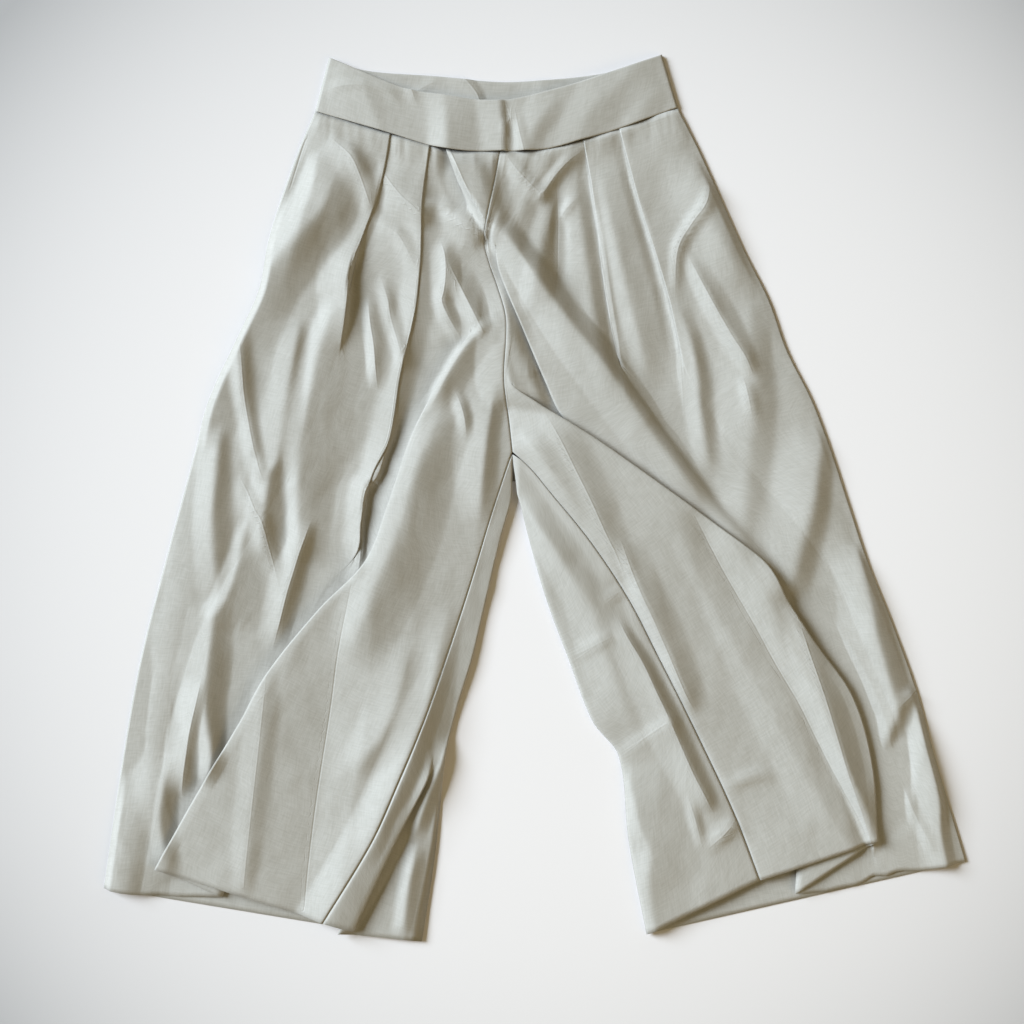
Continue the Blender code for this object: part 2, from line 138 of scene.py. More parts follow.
# Knife pleats: down, across at the pleat's edge, depth of cloth under it (below 0 the pleat lies open)
PLEAT_ONE = (
    (-16, -109, 24), (40, -120, 20), (90, -138, 18), (140, -150, 14), (180, -156, 6),
    (215, -163, -8), (300, -195, -14), (500, -305, -14), (745, -357, -12),
)
PLEAT_TWO = (
    (-5, -70, 22), (50, -77, 18), (110, -79, 18), (165, -85, 22), (225, -99, 24), (290, -110, 26),
    (325, -127, 20), (370, -138, 12), (405, -144, 0), (455, -192, -14), (600, -265, -14),
    (747, -318, -12),
)
PLEAT_THREE = (
    (-10, 83, 22), (40, 92, 18), (135, 104, 18), (190, 114, 12), (215, 122, 0), (240, 147, -8),
    (300, 194, -8), (413, 290, -8), (490, 331, -8), (600, 374, -8), (726, 384, -8),
)
PLEAT_FOUR = (
    (-21, 119, 22), (20, 130, 22), (60, 141, 20), (103, 155, 18), (150, 169, 16), (190, 178, 8),
    (225, 188, -4), (300, 232, -8), (413, 322, -8), (490, 358, -8), (600, 400, -8), (721, 418, -8),
)
# Loose folds: down, across at the edge, depth, height of the edge
LEFT_FLAP = (
    (1, -54, 10, 9.0), (25, -45, 12, 9.5), (52, -33, 8, 9.5), (85, -26, -8, 7.5), (130, -28, -14, 3.2),
    (172, -24, -6, 7.0), (205, -45, 14, 10.0), (250, -71, 24, 11.0), (290, -90, 32, 12.5),
    (355, -112, 38, 13.0), (412, -135, 42, 14.0), (458, -180, 46, 14.0), (522, -232, 50, 13.5),
    (572, -260, 54, 13.0), (651, -307, 60, 12.5), (718, -344, 66, 11.5),
)
RIGHT_FLAP = (
    (1, 14, -8, 6.5), (60, -6, -2, 8.5), (90, -12, -1, 6.5), (112, -8, -1, 4.2), (135, 4, -6, 3.8),
    (180, 14, -8, 3.8),
    (232, 10, -3, 5.5), (253, 37, 16, 11.0), (267, 60, 28, 14.5), (290, 97, 42, 16.5),
    (320, 140, 52, 17.0), (350, 182, 54, 16.5), (378, 220, 56, 15.5), (413, 265, 58, 15.0),
    (450, 287, 60, 15.0), (490, 313, 62, 14.5), (545, 352, 68, 14.5), (612, 372, 74, 14.0),
    (690, 377, 82, 12.0),
)
CROSS_FOLD = (
    (1, 40, -8, 7.0), (60, 12, -6, 9.2), (90, -2, -4, 9.8), (112, -3, 7, 10.0), (135, 4, 14, 10.0),
    (180, 23, 24, 10.0), (232, 45, 30, 9.5), (267, 62, 30, 9.0), (300, 95, 26, 8.5),
    (340, 145, 16, 8.0), (378, 196, 2, 6.0), (413, 240, -8, 4.0), (490, 283, -8, 3.0),
    (600, 322, -8, 3.0), (742, 325, -8, 3.0),
)
# The ridge along the top of the cross fold: down, across, height
CROSS_RIDGE = (
    (0, 60, 7.0), (60, 24, 10.0), (90, 17, 12.0), (135, 41, 13.0), (180, 72, 13.0), (232, 117, 12.5),
    (300, 168, 12.0), (367, 220, 11.0), (413, 262, 8.0), (490, 304, 4.0), (600, 345, 3.4),
    (736, 350, 3.2),
)
# How far past the ridge the cloth is down again: down, reach
VALLEY_REACH = (
    (0, 14), (60, 20), (90, 24), (135, 24), (190, 18), (232, 12), (300, 10), (742, 10),
)
# How much lower the root of a flap ends at the hem than its edge, and the shares between which it drops
LEFT_ROOT_DROP = 29
RIGHT_ROOT_DROP = 54
ROOT_DROPS = (0.8, 1.0)
# Soft crowns of the cloth between two lines: share of the way, share of BELLY or height
SIDE_CROWN = ((0.3, 0.8), (0.7, 1.1))
FLAP_CROWN = ((0.3, 0.8), (0.6, 1.2), (0.85, 0.6))
# The left inseam strip, folded over the cloth beside it: share of the row, depth, height
STRIP_FOLD = ((0.0, -8, 0.0), (0.66, -8, 0.0), (0.74, -2, 4.0), (0.80, 6, 5.0), (1.0, 17, 6.0))
STRIP_EDGE = (
    (302, 12.5), (370, -2), (510, -38), (588, -54), (628, -71), (697, -106), (781, -145),
)
# Where its edge is read, shares between which it leaves the middle, and that middle's share of the way
STRIP_EDGE_BELOW = 12
STRIP_PARTS = (0.68, 0.80)
STRIP_MIDDLE = 0.45
# Its root and its edge: shares of the way down, of the way up, and of its height
STRIP_LOW = (0.4, 0.3, -0.4)
STRIP_HIGH = (0.6, 0.7, 0.6)
# It is folded only where the cloth between the leg's fold and the inseam is this wide
STRIP_WIDE = (22, 38)

# The crotch point on the front, and the notch below it where the centre back seam turns under
CROTCH_DOWN = 302
BACK_CROTCH_DOWN = CROTCH_DOWN + 2.5
NOTCH_DOWN = 331
NOTCH_ACROSS = 13
# Shares of a back panel's rows at the notch and at the start of the inseam, and its rows above that
NOTCH_SHARE = 0.475
INSEAM_SHARE = 0.53
INSEAM_TURN_DOWN = 345
# Where the cloth between a leg's inner fold and its inseam is read, and its soft crown
BACK_STEPS = (0.0, 0.1, 0.22, 0.35, 0.5, 0.65, 0.8, 0.92)
STRIP_STEPS = (0.12, 0.2, 0.3, 0.4, 0.5, 0.62, 0.75)
WRAP_CROWN = 1.2
SEAT_END = 8
TURN_INSET = 0.8

# Creases: sharpness, roundness of the crest in millimetres, then points along the crease: across, down,
# height, and the widths of its slopes on the left and right of someone who walks along it
PANEL_CREASES = {
    "hip_valley_left": (1.15, 3, (
        (-152, 2, 0, 30, 22), (-165, 30, 3.5, 32, 28), (-178, 62, 6, 34, 32), (-204, 88, 7, 34, 36),
        (-234, 126, 7.2, 26, 38), (-252, 162, 6.5, 16, 38), (-259, 185, 6, 10, 36), (-260, 210, 4.6, 9, 32),
        (-257, 242, 2.4, 9, 24), (-253, 270, 0, 9, 18),
    )),
    "first_pleat_shadow": (1.35, 5, (
        (-163, 150, 0, 10.4, 26), (-169, 170, 3, 13, 39), (-180, 205, 5, 15.6, 58.5),
        (-188, 245, 7, 16.9, 65), (-197, 290, 7, 15.6, 54.6), (-201, 330, 6.5, 13, 36.4),
        (-201, 360, 5.5, 10.4, 31.2), (-201, 390, 4, 10.4, 26), (-200, 412, 0, 10.4, 26),
    )),
    "hip_ridge": (1.35, 2, (
        (-200, 168, 0, 32.5, 10.4), (-203, 190, 3, 36.4, 11.7), (-209, 230, 4.5, 39, 14.3),
        (-215, 270, 5, 39, 16.9), (-221, 308, 5, 32.5, 19.5), (-229, 323, 5, 18.2, 23.4),
        (-232, 340, 5, 18.2, 24.7), (-235, 365, 4, 18.2, 22.1), (-238, 390, 2, 18.2, 18.2),
        (-240, 412, 0, 18.2, 15.6),
    )),
    "thin_fold": (1.3, 1, (
        (-260, 180, 0, 6.5, 7.8), (-257, 212, 2, 7.8, 10.4), (-254, 250, 3, 10.4, 10.4),
        (-247, 290, 3.5, 13, 9.1), (-240, 318, 3, 13, 9.1), (-235, 332, 0, 10.4, 7.8),
    )),
    "outer_fold": (1.35, 2, (
        (-260, 175, 1, 7.8, 13), (-268, 205, 3.5, 7.8, 18.2), (-278, 230, 4.5, 10.4, 28.6),
        (-290, 260, 4, 10.4, 34), (-294, 280, 2.4, 11, 28), (-293, 300, 0, 12, 20),
    )),
    "outer_strip": (1.35, 2, (
        (-278, 275, 0, 15.6, 10.4), (-281, 295, 3, 18.2, 11.7), (-284, 330, 3.5, 19.5, 14.3),
        (-287, 365, 3.5, 19.5, 18.2), (-286, 400, 3, 19.5, 19.5), (-282, 440, 2, 19.5, 18.2),
        (-278, 462, 0, 15.6, 13),
    )),
    "small_fold_one": (1.3, 1, (
        (-261, 326, 0, 13, 5.2), (-252, 342, 2, 15.6, 6.5), (-244, 360, 3, 18.2, 7.8),
        (-237, 372, 3, 15.6, 9.1), (-230, 400, 2.5, 15.6, 9.1), (-219, 442, 0, 13, 7.8),
    )),
    "triangle": (1.35, 2, (
        (-253, 368, 0, 7.8, 7.8), (-257, 390, 2.5, 10.4, 18.2), (-260, 410, 3.5, 13, 31.2),
        (-267, 435, 4, 15.6, 44.2), (-276, 455, 3.5, 15.6, 39), (-286, 466, 2, 15.6, 19.5),
        (-294, 472, 0, 13, 13),
    )),
    "knee_ridge": (1.35, 2, (
        (-284, 448, 0, 23.4, 15.6), (-286, 465, 3, 26, 18.2), (-289, 490, 4.5, 28.6, 20.8),
        (-292, 520, 5.5, 32.5, 22.1), (-294, 550, 6, 32.5, 19.5), (-292, 575, 6, 26, 16.9),
        (-288, 600, 6, 20.8, 13), (-289, 615, 5, 18.2, 11.7), (-297, 635, 0, 13, 10.4),
    )),
    "knee_slit": (1.35, 1, (
        (-297, 528, 0, 18.2, 5.2), (-303, 555, 3, 20.8, 7.8), (-310, 585, 4, 23.4, 9.1),
        (-313, 605, 4.5, 23.4, 11.7), (-316, 625, 4, 19.5, 13), (-319, 647, 0, 15.6, 10.4),
    )),
    "hem_mouth": (1.35, 3, (
        (-328, 602, 0, 30, 12), (-336, 635, 3.6, 42, 14), (-340, 662, 4.6, 46, 15),
        (-338, 688, 4.4, 42, 14), (-332, 712, 2.6, 32, 12), (-325, 730, 0, 24, 10),
    )),
    "outer_soft": (1, 6, (
        (-350, 490, 0, 20, 25), (-362, 550, -2.5, 20, 28), (-368, 610, -3, 22, 28), (-365, 645, -3, 22, 24),
        (-352, 682, -2.5, 22, 20), (-338, 706, 0, 18, 18),
    )),
    "long_slit": (1.35, 1, (
        (-188, 370, 0, 18.2, 7.8), (-195, 390, 3, 18.2, 9.1), (-201, 406, 4, 19.5, 10.4),
        (-207, 425, 4.5, 20.8, 11.7), (-213, 445, 4.5, 20.8, 13), (-220, 472, 3, 19.5, 13),
        (-228, 500, 0, 15.6, 10.4),
    )),
    "near_pleat_one": (1.35, 1, (
        (-171, -14, 0, 19.5, 5.2), (-160, -4, 2, 19.5, 6.5), (-148, 8, 3.2, 19.5, 9.1),
        (-140, 25, 3.2, 18.2, 11.7), (-133, 45, 2.5, 13, 9.1), (-127, 64, 0, 10.4, 7.8),
    )),
    "near_pleat_two": (1.3, 1.4, (
        (-156, -11, 0, 10, 8), (-148, 0, 2, 10, 10), (-138, 15, 2.4, 13, 14), (-128, 35, 2, 10, 10),
        (-121, 52, 0, 8, 8),
    )),
    "pocket_slit": (1, 0.4, (
        (-194, -12, -2.5, 1, 2), (-199, 2, -3, 1, 2), (-204, 18, -3, 1, 2), (-209, 34, -2.5, 1, 2),
        (-211, 40, 0, 1, 2),
    )),
    "pocket_crease": (1.35, 2, (
        (-182, 0, 0, 10.4, 15.6), (-184, 25, 2.5, 13, 20.8), (-192, 55, 2.5, 15.6, 20.8),
        (-202, 90, 2, 18.2, 18.2), (-214, 125, 0, 15.6, 15.6),
    )),
    "pleat_one_edge": (1.3, 0.6, (
        (-112, 0, 0, 14, 6), (-121, 30, 0.8, 18, 8), (-129, 65, 1.2, 22, 8), (-140, 93, 2.2, 28, 5),
        (-148, 116, 5.4, 33, 2.5), (-151, 132, 6.6, 33, 2.5), (-152, 150, 5.8, 32, 2.5),
        (-154, 168, 4, 28, 3), (-157, 184, 1.8, 22, 4), (-160, 200, 0, 16, 6),
    )),
    "pleat_face_one": (1.35, 1, (
        (-121, 15, 0, 18.2, 26), (-110, 32, 3, 20.8, 32.5), (-98, 47, 4, 23.4, 32.5),
        (-88, 56, 4, 20.8, 26), (-78, 66, 3, 15.6, 19.5), (-70, 74, 0, 13, 15.6),
    )),
    "pleat_face_two": (1.3, 1, (
        (-126, 70, 0, 7.8, 7.8), (-105, 82, 1.6, 10.4, 10.4), (-96, 94, 1.6, 10.4, 10.4),
        (-81, 124, 0, 7.8, 7.8),
    )),
    "pleat_face_three": (1.3, 1, (
        (-120, 126, 0, 7.8, 7.8), (-112, 150, 2, 10.4, 9.1), (-109, 168, 2.2, 10.4, 10.4),
        (-98, 206, 1.6, 7.8, 7.8), (-95, 222, 0, 7.8, 7.8),
    )),
    "pleat_face_four": (1.35, 1, (
        (-132, 146, 0, 6.5, 10.4), (-130, 170, 2.6, 7.8, 15.6), (-126, 195, 3.6, 9.1, 19.5),
        (-124, 220, 3, 9.1, 14.3), (-122, 240, 0, 7.8, 10.4),
    )),
    "pleat_two_edge": (1.3, 0.6, (
        (-72, 5, 0, 12, 8), (-77, 40, 1.2, 16, 16), (-79, 90, 2.2, 18, 20), (-80, 135, 2.6, 20, 20),
        (-89, 180, 3, 20, 18), (-97, 215, 3.2, 22, 16), (-102, 245, 3.2, 23, 14), (-108, 280, 3.4, 23, 8),
        (-115, 305, 3.8, 22, 3), (-123, 327, 4.2, 20, 3), (-134, 340, 4, 18, 3), (-138, 370, 3.8, 18, 3),
        (-139, 402, 3.4, 18, 5), (-142, 428, 0, 13, 10),
    )),
    "wedge": (1.35, 1, (
        (-64, 58, 0, 10.4, 18.2), (-50, 67, 2.5, 11.7, 20.8), (-35, 75, 4.5, 14.3, 20.8),
        (-20, 83, 5, 16.9, 18.2), (-11, 89, 0, 10.4, 10.4),
    )),
    "dimple": (1.3, 1, (
        (-77, 53, 0, 6.5, 6.5), (-65, 54, 1.8, 6.5, 7.8), (-53, 57, 1.5, 6.5, 7.8), (-46, 63, 0, 6.5, 6.5),
    )),
    "cross_ripple": (1.35, 1, (
        (-60, 90, 0, 13, 10.4), (-55, 105, 3, 15.6, 13), (-54, 125, 4, 15.6, 15.6), (-56, 142, 4, 13, 15.6),
        (-58, 152, 3.5, 10.4, 13), (-51, 168, 3, 10.4, 10.4), (-38, 190, 0, 7.8, 7.8),
    )),
    "facet_edge": (1.35, 1, (
        (-53, 110, 0, 10.4, 13), (-42, 132, 3, 13, 18.2), (-32, 152, 4, 13, 18.2), (-22, 172, 4, 10.4, 13),
        (-15, 186, 0, 7.8, 10.4),
    )),
    "rolled_edge": (1.35, 3, (
        (0, 166, 0, 5.2, 15.6), (-20, 183, 2, 6.5, 18.2), (-34, 198, 3, 6.5, 19.5),
        (-49, 220, 3, 6.5, 19.5), (-60, 240, 3, 6.5, 18.2), (-70, 260, 0, 6.5, 15.6),
    )),
    "pinch": (1.3, 1, (
        (-45, 241, 0, 7.8, 6.5), (-39, 255, 2.2, 9.1, 7.8), (-35, 270, 2.4, 9.1, 7.8),
        (-33, 288, 0, 7.8, 6.5),
    )),
    "broad_left": (1.35, 5, (
        (-50, 245, 0, 26, 26), (-70, 290, 4, 28.6, 33.8), (-84, 325, 5, 28.6, 36.4),
        (-98, 375, 5, 31.2, 39), (-120, 430, 5, 31.2, 39), (-140, 482, 3, 26, 33.8), (-150, 515, 0, 26, 26),
    )),
    "lower_bright": (1.35, 4, (
        (-90, 490, 0, 26, 18.2), (-96, 525, 2.5, 28.6, 20.8), (-105, 560, 3.5, 28.6, 22.1),
        (-120, 590, 3.5, 26, 22.1), (-134, 607, 2.5, 20.8, 19.5), (-144, 628, 0, 15.6, 15.6),
    )),
    "beside_centre": (1.35, 2, (
        (-2, 232, 0, 26, 10.4), (-9, 260, 2.5, 28.6, 11.7), (-14, 290, 3.5, 32.5, 13),
        (-17, 320, 3.5, 28.6, 14.3), (-19, 350, 2.5, 23.4, 15.6), (-22, 377, 0, 18.2, 13),
    )),
    "flap_ridge": (1, 0.3, (
        (-232, 514, 0, 6, 10), (-234, 540, 1.2, 14, 14), (-238, 579, 1.5, 18, 16), (-242, 615, 1.5, 18, 16),
        (-246, 650, 1.5, 18, 16), (-251, 695, 1.3, 16, 14), (-255, 734, 1.2, 12, 12),
    )),
    "pleat_line": (1, 0.4, (
        (-145, 422, 0, 20, 14), (-152, 455, -1.8, 30, 24), (-162, 505, -2.6, 42, 32),
        (-168, 550, -2.8, 52, 36), (-175, 595, -2.8, 58, 36), (-182, 640, -2.8, 60, 36),
        (-188, 685, -2.6, 60, 36), (-193, 730, -2.4, 58, 34), (-195, 758, -2.2, 55, 34),
    )),
    "outer_lower": (1.1, 6, (
        (-378, 585, 0, 10, 40), (-387, 635, 3, 10, 52), (-391, 685, 4, 9, 58), (-394, 730, 4, 8, 58),
    )),
    "inseam_shoulder": (1.35, 3, (
        (-48, 450, 0, 18.2, 13), (-60, 500, 2, 20.8, 15.6), (-72, 550, 3, 23.4, 15.6),
        (-88, 595, 3.5, 23.4, 15.6), (-102, 635, 3.5, 23.4, 13), (-116, 665, 3, 20.8, 10.4),
        (-124, 688, 2, 18.2, 10.4), (-138, 712, 0, 15.6, 10.4),
    )),
    "vee_one": (1.3, 1, (
        (4, 2, 0, 6.5, 6.5), (14, 17, 1.6, 7.8, 7.8), (27, 32, 2.2, 7.8, 7.8), (42, 46, 1.6, 7.8, 7.8),
        (49, 53, 0, 6.5, 6.5),
    )),
    "vee_two": (1.3, 1, (
        (85, -1, 0, 6.5, 6.5), (70, 10, 1.6, 7.8, 7.8), (56, 25, 2.2, 7.8, 7.8), (43, 44, 1.6, 7.8, 7.8),
        (37, 53, 0, 6.5, 6.5),
    )),
    "fold_start_shadow": (1.1, 0.6, (
        (-53, -1, -1.6, 16, 1.5), (-44, 22, -2.4, 18, 1.5), (-34, 44, -2.6, 18, 1.5),
        (-23, 63, -2.4, 17, 1.5), (-16, 86, -1.6, 14, 1.5), (-12, 106, 0, 10, 1.5),
    )),
    "fold_start_face": (1.1, 1, (
        (-51, -1, 2, 2, 34), (-41, 22, 2.6, 2, 36), (-30, 46, 3, 3, 36), (-16, 70, 2.6, 5, 32),
        (0, 96, 0, 8, 24),
    )),
    "fold_crest": (1.1, 1.2, (
        (-52, -3, 2, 3, 38), (-42, 22, 2.6, 3, 38), (-32, 44, 3.4, 4, 34), (-20, 63, 4.8, 7, 25),
        (-5, 79, 6, 12, 18), (13, 97, 6.5, 17, 16), (33, 124, 6.7, 21, 16), (54, 153, 6.7, 25, 17),
        (78, 184, 6.4, 29, 18), (100, 211, 5.8, 31, 19), (120, 238, 5, 31, 20), (140, 268, 4.2, 29, 21),
        (160, 296, 3.5, 25, 20), (186, 330, 2, 19, 16), (204, 353, 0, 14, 12),
    )),
    "pocket_wall": (1, 1.4, (
        (-1, 130, 0, 14, 8), (5, 155, 2.4, 22, 12), (8, 172, 4, 28, 15), (8, 190, 5, 30, 20),
        (8, 212, 5.4, 32, 30), (11, 234, 5.2, 32, 38), (22, 246, 3.6, 14, 32), (36, 255, 1.8, 6, 20),
        (50, 263, 0, 5, 8),
    )),
    "pocket_lip": (1, 2, (
        (8, 172, 0, 8, 6), (17, 195, 1.2, 9, 8), (27, 220, 1.8, 10, 10), (37, 242, 1.6, 10, 10),
        (48, 262, 0, 8, 6),
    )),
    "peak_left": (1, 1.5, (
        (53, 40, 0, 8, 5), (49, 70, 2.2, 12, 9), (43, 95, 2.8, 15, 15), (38, 120, 2.8, 15, 19),
        (33, 145, 1.8, 12, 20), (29, 168, 0, 10, 14),
    )),
    "peak_right": (1.35, 1, (
        (56, 30, 0, 13, 10.4), (58, 60, -1.6, 15.6, 13), (58, 95, -2.2, 18.2, 13),
        (57, 130, -1.6, 15.6, 13), (52, 160, 0, 13, 10.4),
    )),
    "small_vee": (1.3, 1, (
        (57, 72, 0, 5.2, 6.5), (67, 58, 1.3, 6.5, 6.5), (79, 46, 0, 5.2, 5.2),
    )),
    "centre_soft": (1.35, 5, (
        (-22, 8, 0, 13, 18.2), (-18, 30, 2, 15.6, 20.8), (-10, 50, 2, 15.6, 18.2), (5, 75, 0, 13, 13),
    )),
    "before_pleat_three": (1.2, 3, (
        (70, 18, 0, 14, 18), (78, 60, 1.2, 16, 20), (85, 112, 2, 18, 22), (92, 165, 2.2, 18, 22),
        (102, 212, 1.6, 14, 18), (112, 248, 0, 10, 12),
    )),
    "pleat_three_face": (1.2, 3, (
        (101, 13, 0, 8, 22), (110, 62, 1.5, 9, 28), (121, 112, 2.4, 10, 34), (131, 155, 2.6, 12, 36),
        (142, 198, 2.2, 12, 32), (152, 238, 0, 10, 20),
    )),
    "pleat_three_shadow": (1.1, 0.5, (
        (84, 0, -0.4, 9, 1.5), (90, 40, -1.1, 12, 1.5), (99, 90, -1.5, 14, 1.5), (108, 150, -1.6, 14, 1.5),
        (117, 200, -1.4, 13, 1.5), (124, 238, 0, 10, 1.5),
    )),
    "pleat_four_shadow": (1.1, 0.5, (
        (121, -10, -0.4, 8, 1.5), (130, 30, -0.9, 9, 1.5), (141, 64, -1.2, 10, 1.5),
        (153, 102, -1.4, 11, 1.5), (165, 145, -1.2, 11, 1.5), (174, 185, -0.8, 10, 1.5),
        (180, 225, 0, 8, 1.5),
    )),
    "pleat_three_edge": (1.3, 1, (
        (87, 15, 0, 3, 18.2), (98, 85, 0.4, 3, 20.8), (108, 150, 0.6, 3, 20.8), (116, 200, 0.8, 3, 19.5),
        (123, 235, 0.6, 3, 15.6), (127, 248, 0, 3, 10.4),
    )),
    "pleat_four_edge": (1.3, 1, (
        (128, 10, 0, 3, 20.8), (134, 35, 0.4, 3, 23.4), (141, 60, 0.7, 3, 26), (153, 98, 1, 3, 28.6),
        (165, 140, 1.2, 3, 28.6), (172, 170, 1.2, 3, 28.6), (178, 195, 1.2, 3, 26),
        (182, 230, 1.2, 6.5, 20.8), (185, 275, 0, 6.5, 15.6),
    )),
    "right_pinch": (1.35, 1, (
        (187, 104, 0, 7.8, 10.4), (200, 130, 2.6, 10.4, 14.3), (212, 153, 4.2, 11.7, 16.9),
        (230, 185, 4.8, 11.7, 16.9), (244, 207, 4.2, 10.4, 11.7), (253, 226, 0, 7.8, 7.8),
    )),
    "right_pinch_tail": (1.3, 1, (
        (242, 225, 0, 6.5, 7.8), (247, 245, 2.2, 7.8, 10.4), (252, 269, 0, 6.5, 7.8),
    )),
    "thin_ridge": (1.3, 1, (
        (210, 26, 0, 7.8, 7.8), (206, 53, 2.2, 7.8, 10.4), (190, 76, 2.4, 7.8, 10.4),
        (177, 102, 2.2, 7.8, 10.4), (175, 152, 0, 6.5, 7.8),
    )),
    "hip_valley_one": (1.25, 2, (
        (174, 148, 0, 12, 10), (190, 190, 2.6, 15, 11), (197, 225, 3.4, 15, 13), (200, 260, 3.2, 15, 13),
        (206, 300, 2, 13, 13), (213, 328, 0, 10, 10),
    )),
    "hip_valley_two": (1.15, 4, (
        (250, 135, 0, 24, 16), (251, 190, 2.4, 28, 18), (254, 250, 3, 32, 20), (248, 310, 2.6, 32, 22),
        (244, 370, 1.8, 30, 22), (241, 415, 0, 24, 20),
    )),
    "hip_valley_three": (1.15, 2, (
        (323, 275, 0, 34, 10), (318, 310, 3, 40, 14), (312, 350, 4.4, 46, 18), (302, 390, 4.6, 48, 20),
        (292, 425, 3.6, 44, 20), (284, 456, 0, 34, 18),
    )),
    "beside_flap": (1.1, 3, (
        (276, 435, 0, 20, 14), (300, 462, -3, 30, 20), (322, 500, -4.2, 34, 24), (342, 540, -4.6, 36, 26),
        (358, 580, -4.4, 36, 26), (368, 625, -3.6, 30, 26), (374, 670, -2.4, 24, 22), (376, 700, 0, 18, 18),
    )),
    "outer_bright": (1.35, 3, (
        (356, 392, 0, 26, 15.6), (362, 420, 3, 28.6, 18.2), (368, 450, 4, 31.2, 19.5),
        (376, 490, 4.6, 31.2, 19.5), (384, 520, 4.6, 28.6, 19.5), (392, 548, 4.5, 26, 16.9),
        (395, 565, 4, 23.4, 14.3), (388, 586, 2, 18.2, 13), (379, 605, 0, 13, 10.4),
    )),
    "side_notch": (1.3, 1, (
        (392, 561, 0, 7.8, 7.8), (405, 550, 2, 10.4, 10.4), (414, 542, 2, 7.8, 7.8),
        (420, 537, 0, 6.5, 6.5),
    )),
    "outer_ridge": (1.35, 2, (
        (417, 542, 0, 13, 7.8), (421, 565, 3, 15.6, 10.4), (426, 595, 4, 18.2, 11.7),
        (434, 630, 4.2, 18.2, 11.7), (438, 655, 4, 18.2, 10.4), (439, 682, 3, 18.2, 10.4),
        (446, 718, 2.5, 15.6, 10.4),
    )),
    "outer_trough": (1.35, 4, (
        (413, 548, 0, 13, 13), (405, 590, -2.2, 15.6, 15.6), (397, 630, -2.8, 16.9, 16.9),
        (393, 662, -2, 16.9, 16.9), (392, 686, 0, 15.6, 15.6),
    )),
    "hem_line": (1.3, 1, (
        (399, 621, 0, 6.5, 6.5), (412, 658, 1.4, 7.8, 7.8), (428, 690, 1, 7.8, 7.8),
        (436, 702, 0, 6.5, 6.5),
    )),
    "waist_soft": (1.35, 6, (
        (190, 0, 0, 23.4, 23.4), (200, 35, 2.5, 26, 28.6), (216, 75, 3, 26, 31.2),
        (235, 115, 2.5, 26, 28.6), (252, 150, 0, 23.4, 23.4),
    )),
    "flap_crease": (1.3, 0.6, (
        (190, 358, 0, 18, 14), (203, 383, -2.6, 22, 18), (221, 417, -3.6, 26, 22), (240, 450, -4.2, 28, 24),
        (256, 478, -4.2, 28, 24), (271, 506, -4.2, 28, 22), (286, 532, -4.2, 28, 20),
        (298, 552, -4.2, 28, 18), (313, 582, -4.2, 28, 16), (327, 610, -4.2, 28, 14),
        (342, 638, -4, 26, 12), (357, 665, -3.5, 24, 10), (369, 692, -3, 18, 5),
    )),
    "flap_crest": (1.2, 0.6, (
        (291, 450, 0, 14, 14), (298, 472, 2.2, 16, 22), (307, 500, 3.4, 20, 28), (319, 535, 4.2, 20, 32),
        (327, 560, 4.5, 18, 32), (336, 590, 4.5, 16, 30), (345, 620, 4.5, 12, 26), (354, 645, 4.3, 10, 22),
        (363, 670, 3.8, 8, 16), (370, 693, 3.2, 5, 12),
    )),
    "flap_strip": (1.35, 1, (
        (43, 260, 0, 32.5, 15.6), (60, 290, 2.6, 36.4, 23.4), (75, 320, 3.8, 39, 24.7),
        (90, 350, 4.2, 39, 24.7), (105, 383, 4.2, 39, 22.1), (116, 405, 3, 32.5, 19.5),
        (127, 433, 0, 26, 15.6),
    )),
    "beside_inseam": (1.35, 1, (
        (119, 387, 0, 7.8, 18.2), (130, 418, 3, 9.1, 22.1), (142, 447, 4.2, 10.4, 24.7),
        (152, 468, 4.2, 10.4, 24.7), (167, 502, 3.6, 10.4, 24.7), (184, 542, 3, 10.4, 20.8),
        (195, 562, 0, 7.8, 15.6),
    )),
    "flap_wave_one": (1, 2, (
        (165, 380, 0, 24, 22), (190, 435, -1.8, 34, 32), (208, 473, -2.6, 42, 40), (224, 510, -2.8, 46, 42),
        (240, 550, -2.8, 46, 42), (267, 606, -2.6, 44, 38), (287, 646, -1.8, 36, 30), (300, 680, 0, 26, 22),
    )),
    "flap_soft_cross": (1.2, 1.5, (
        (220, 641, 0, 7, 9), (240, 630, 1.3, 9, 10), (258, 624, 1.3, 9, 10), (278, 628, 0, 7, 8),
    )),
    "cloth_below_crotch": (1.35, 3, (
        (20, 280, 0, 15.6, 13), (35, 300, 2.5, 18.2, 15.6), (52, 325, 3, 18.2, 15.6),
        (70, 350, 2, 15.6, 13), (85, 372, 0, 13, 10.4),
    )),
    "wrap_ridge": (1.35, 1, (
        (117, 467, 0, 18.2, 6.5), (127, 487, 2.6, 20.8, 7.8), (142, 512, 4.2, 23.4, 9.1),
        (156, 542, 5, 26, 10.4), (167, 565, 5, 26, 11.7), (180, 595, 5, 26, 13), (192, 622, 5, 23.4, 13),
        (204, 645, 4, 20.8, 11.7), (213, 662, 0, 13, 7.8),
    )),
    "wrap_cross_one": (1.2, 0.8, (
        (66, 511, 0, 6, 7), (85, 500, 1.1, 7, 8), (106, 489, 1.1, 6, 7), (113, 485, 0, 5, 6),
    )),
    "wrap_cross_two": (1.2, 0.8, (
        (99, 453, 0, 5, 6), (113, 445, 1.2, 6, 6), (128, 438, 0, 5, 5),
    )),
    "wrap_cross_three": (1.1, 1, (
        (115, 608, 0, 16, 5), (128, 598, 1.1, 20, 6), (142, 589, 1.5, 24, 6), (155, 579, 1.5, 24, 6),
        (168, 570, 1.1, 18, 6), (178, 564, 0, 12, 5),
    )),
    "wrap_outer": (1.35, 2, (
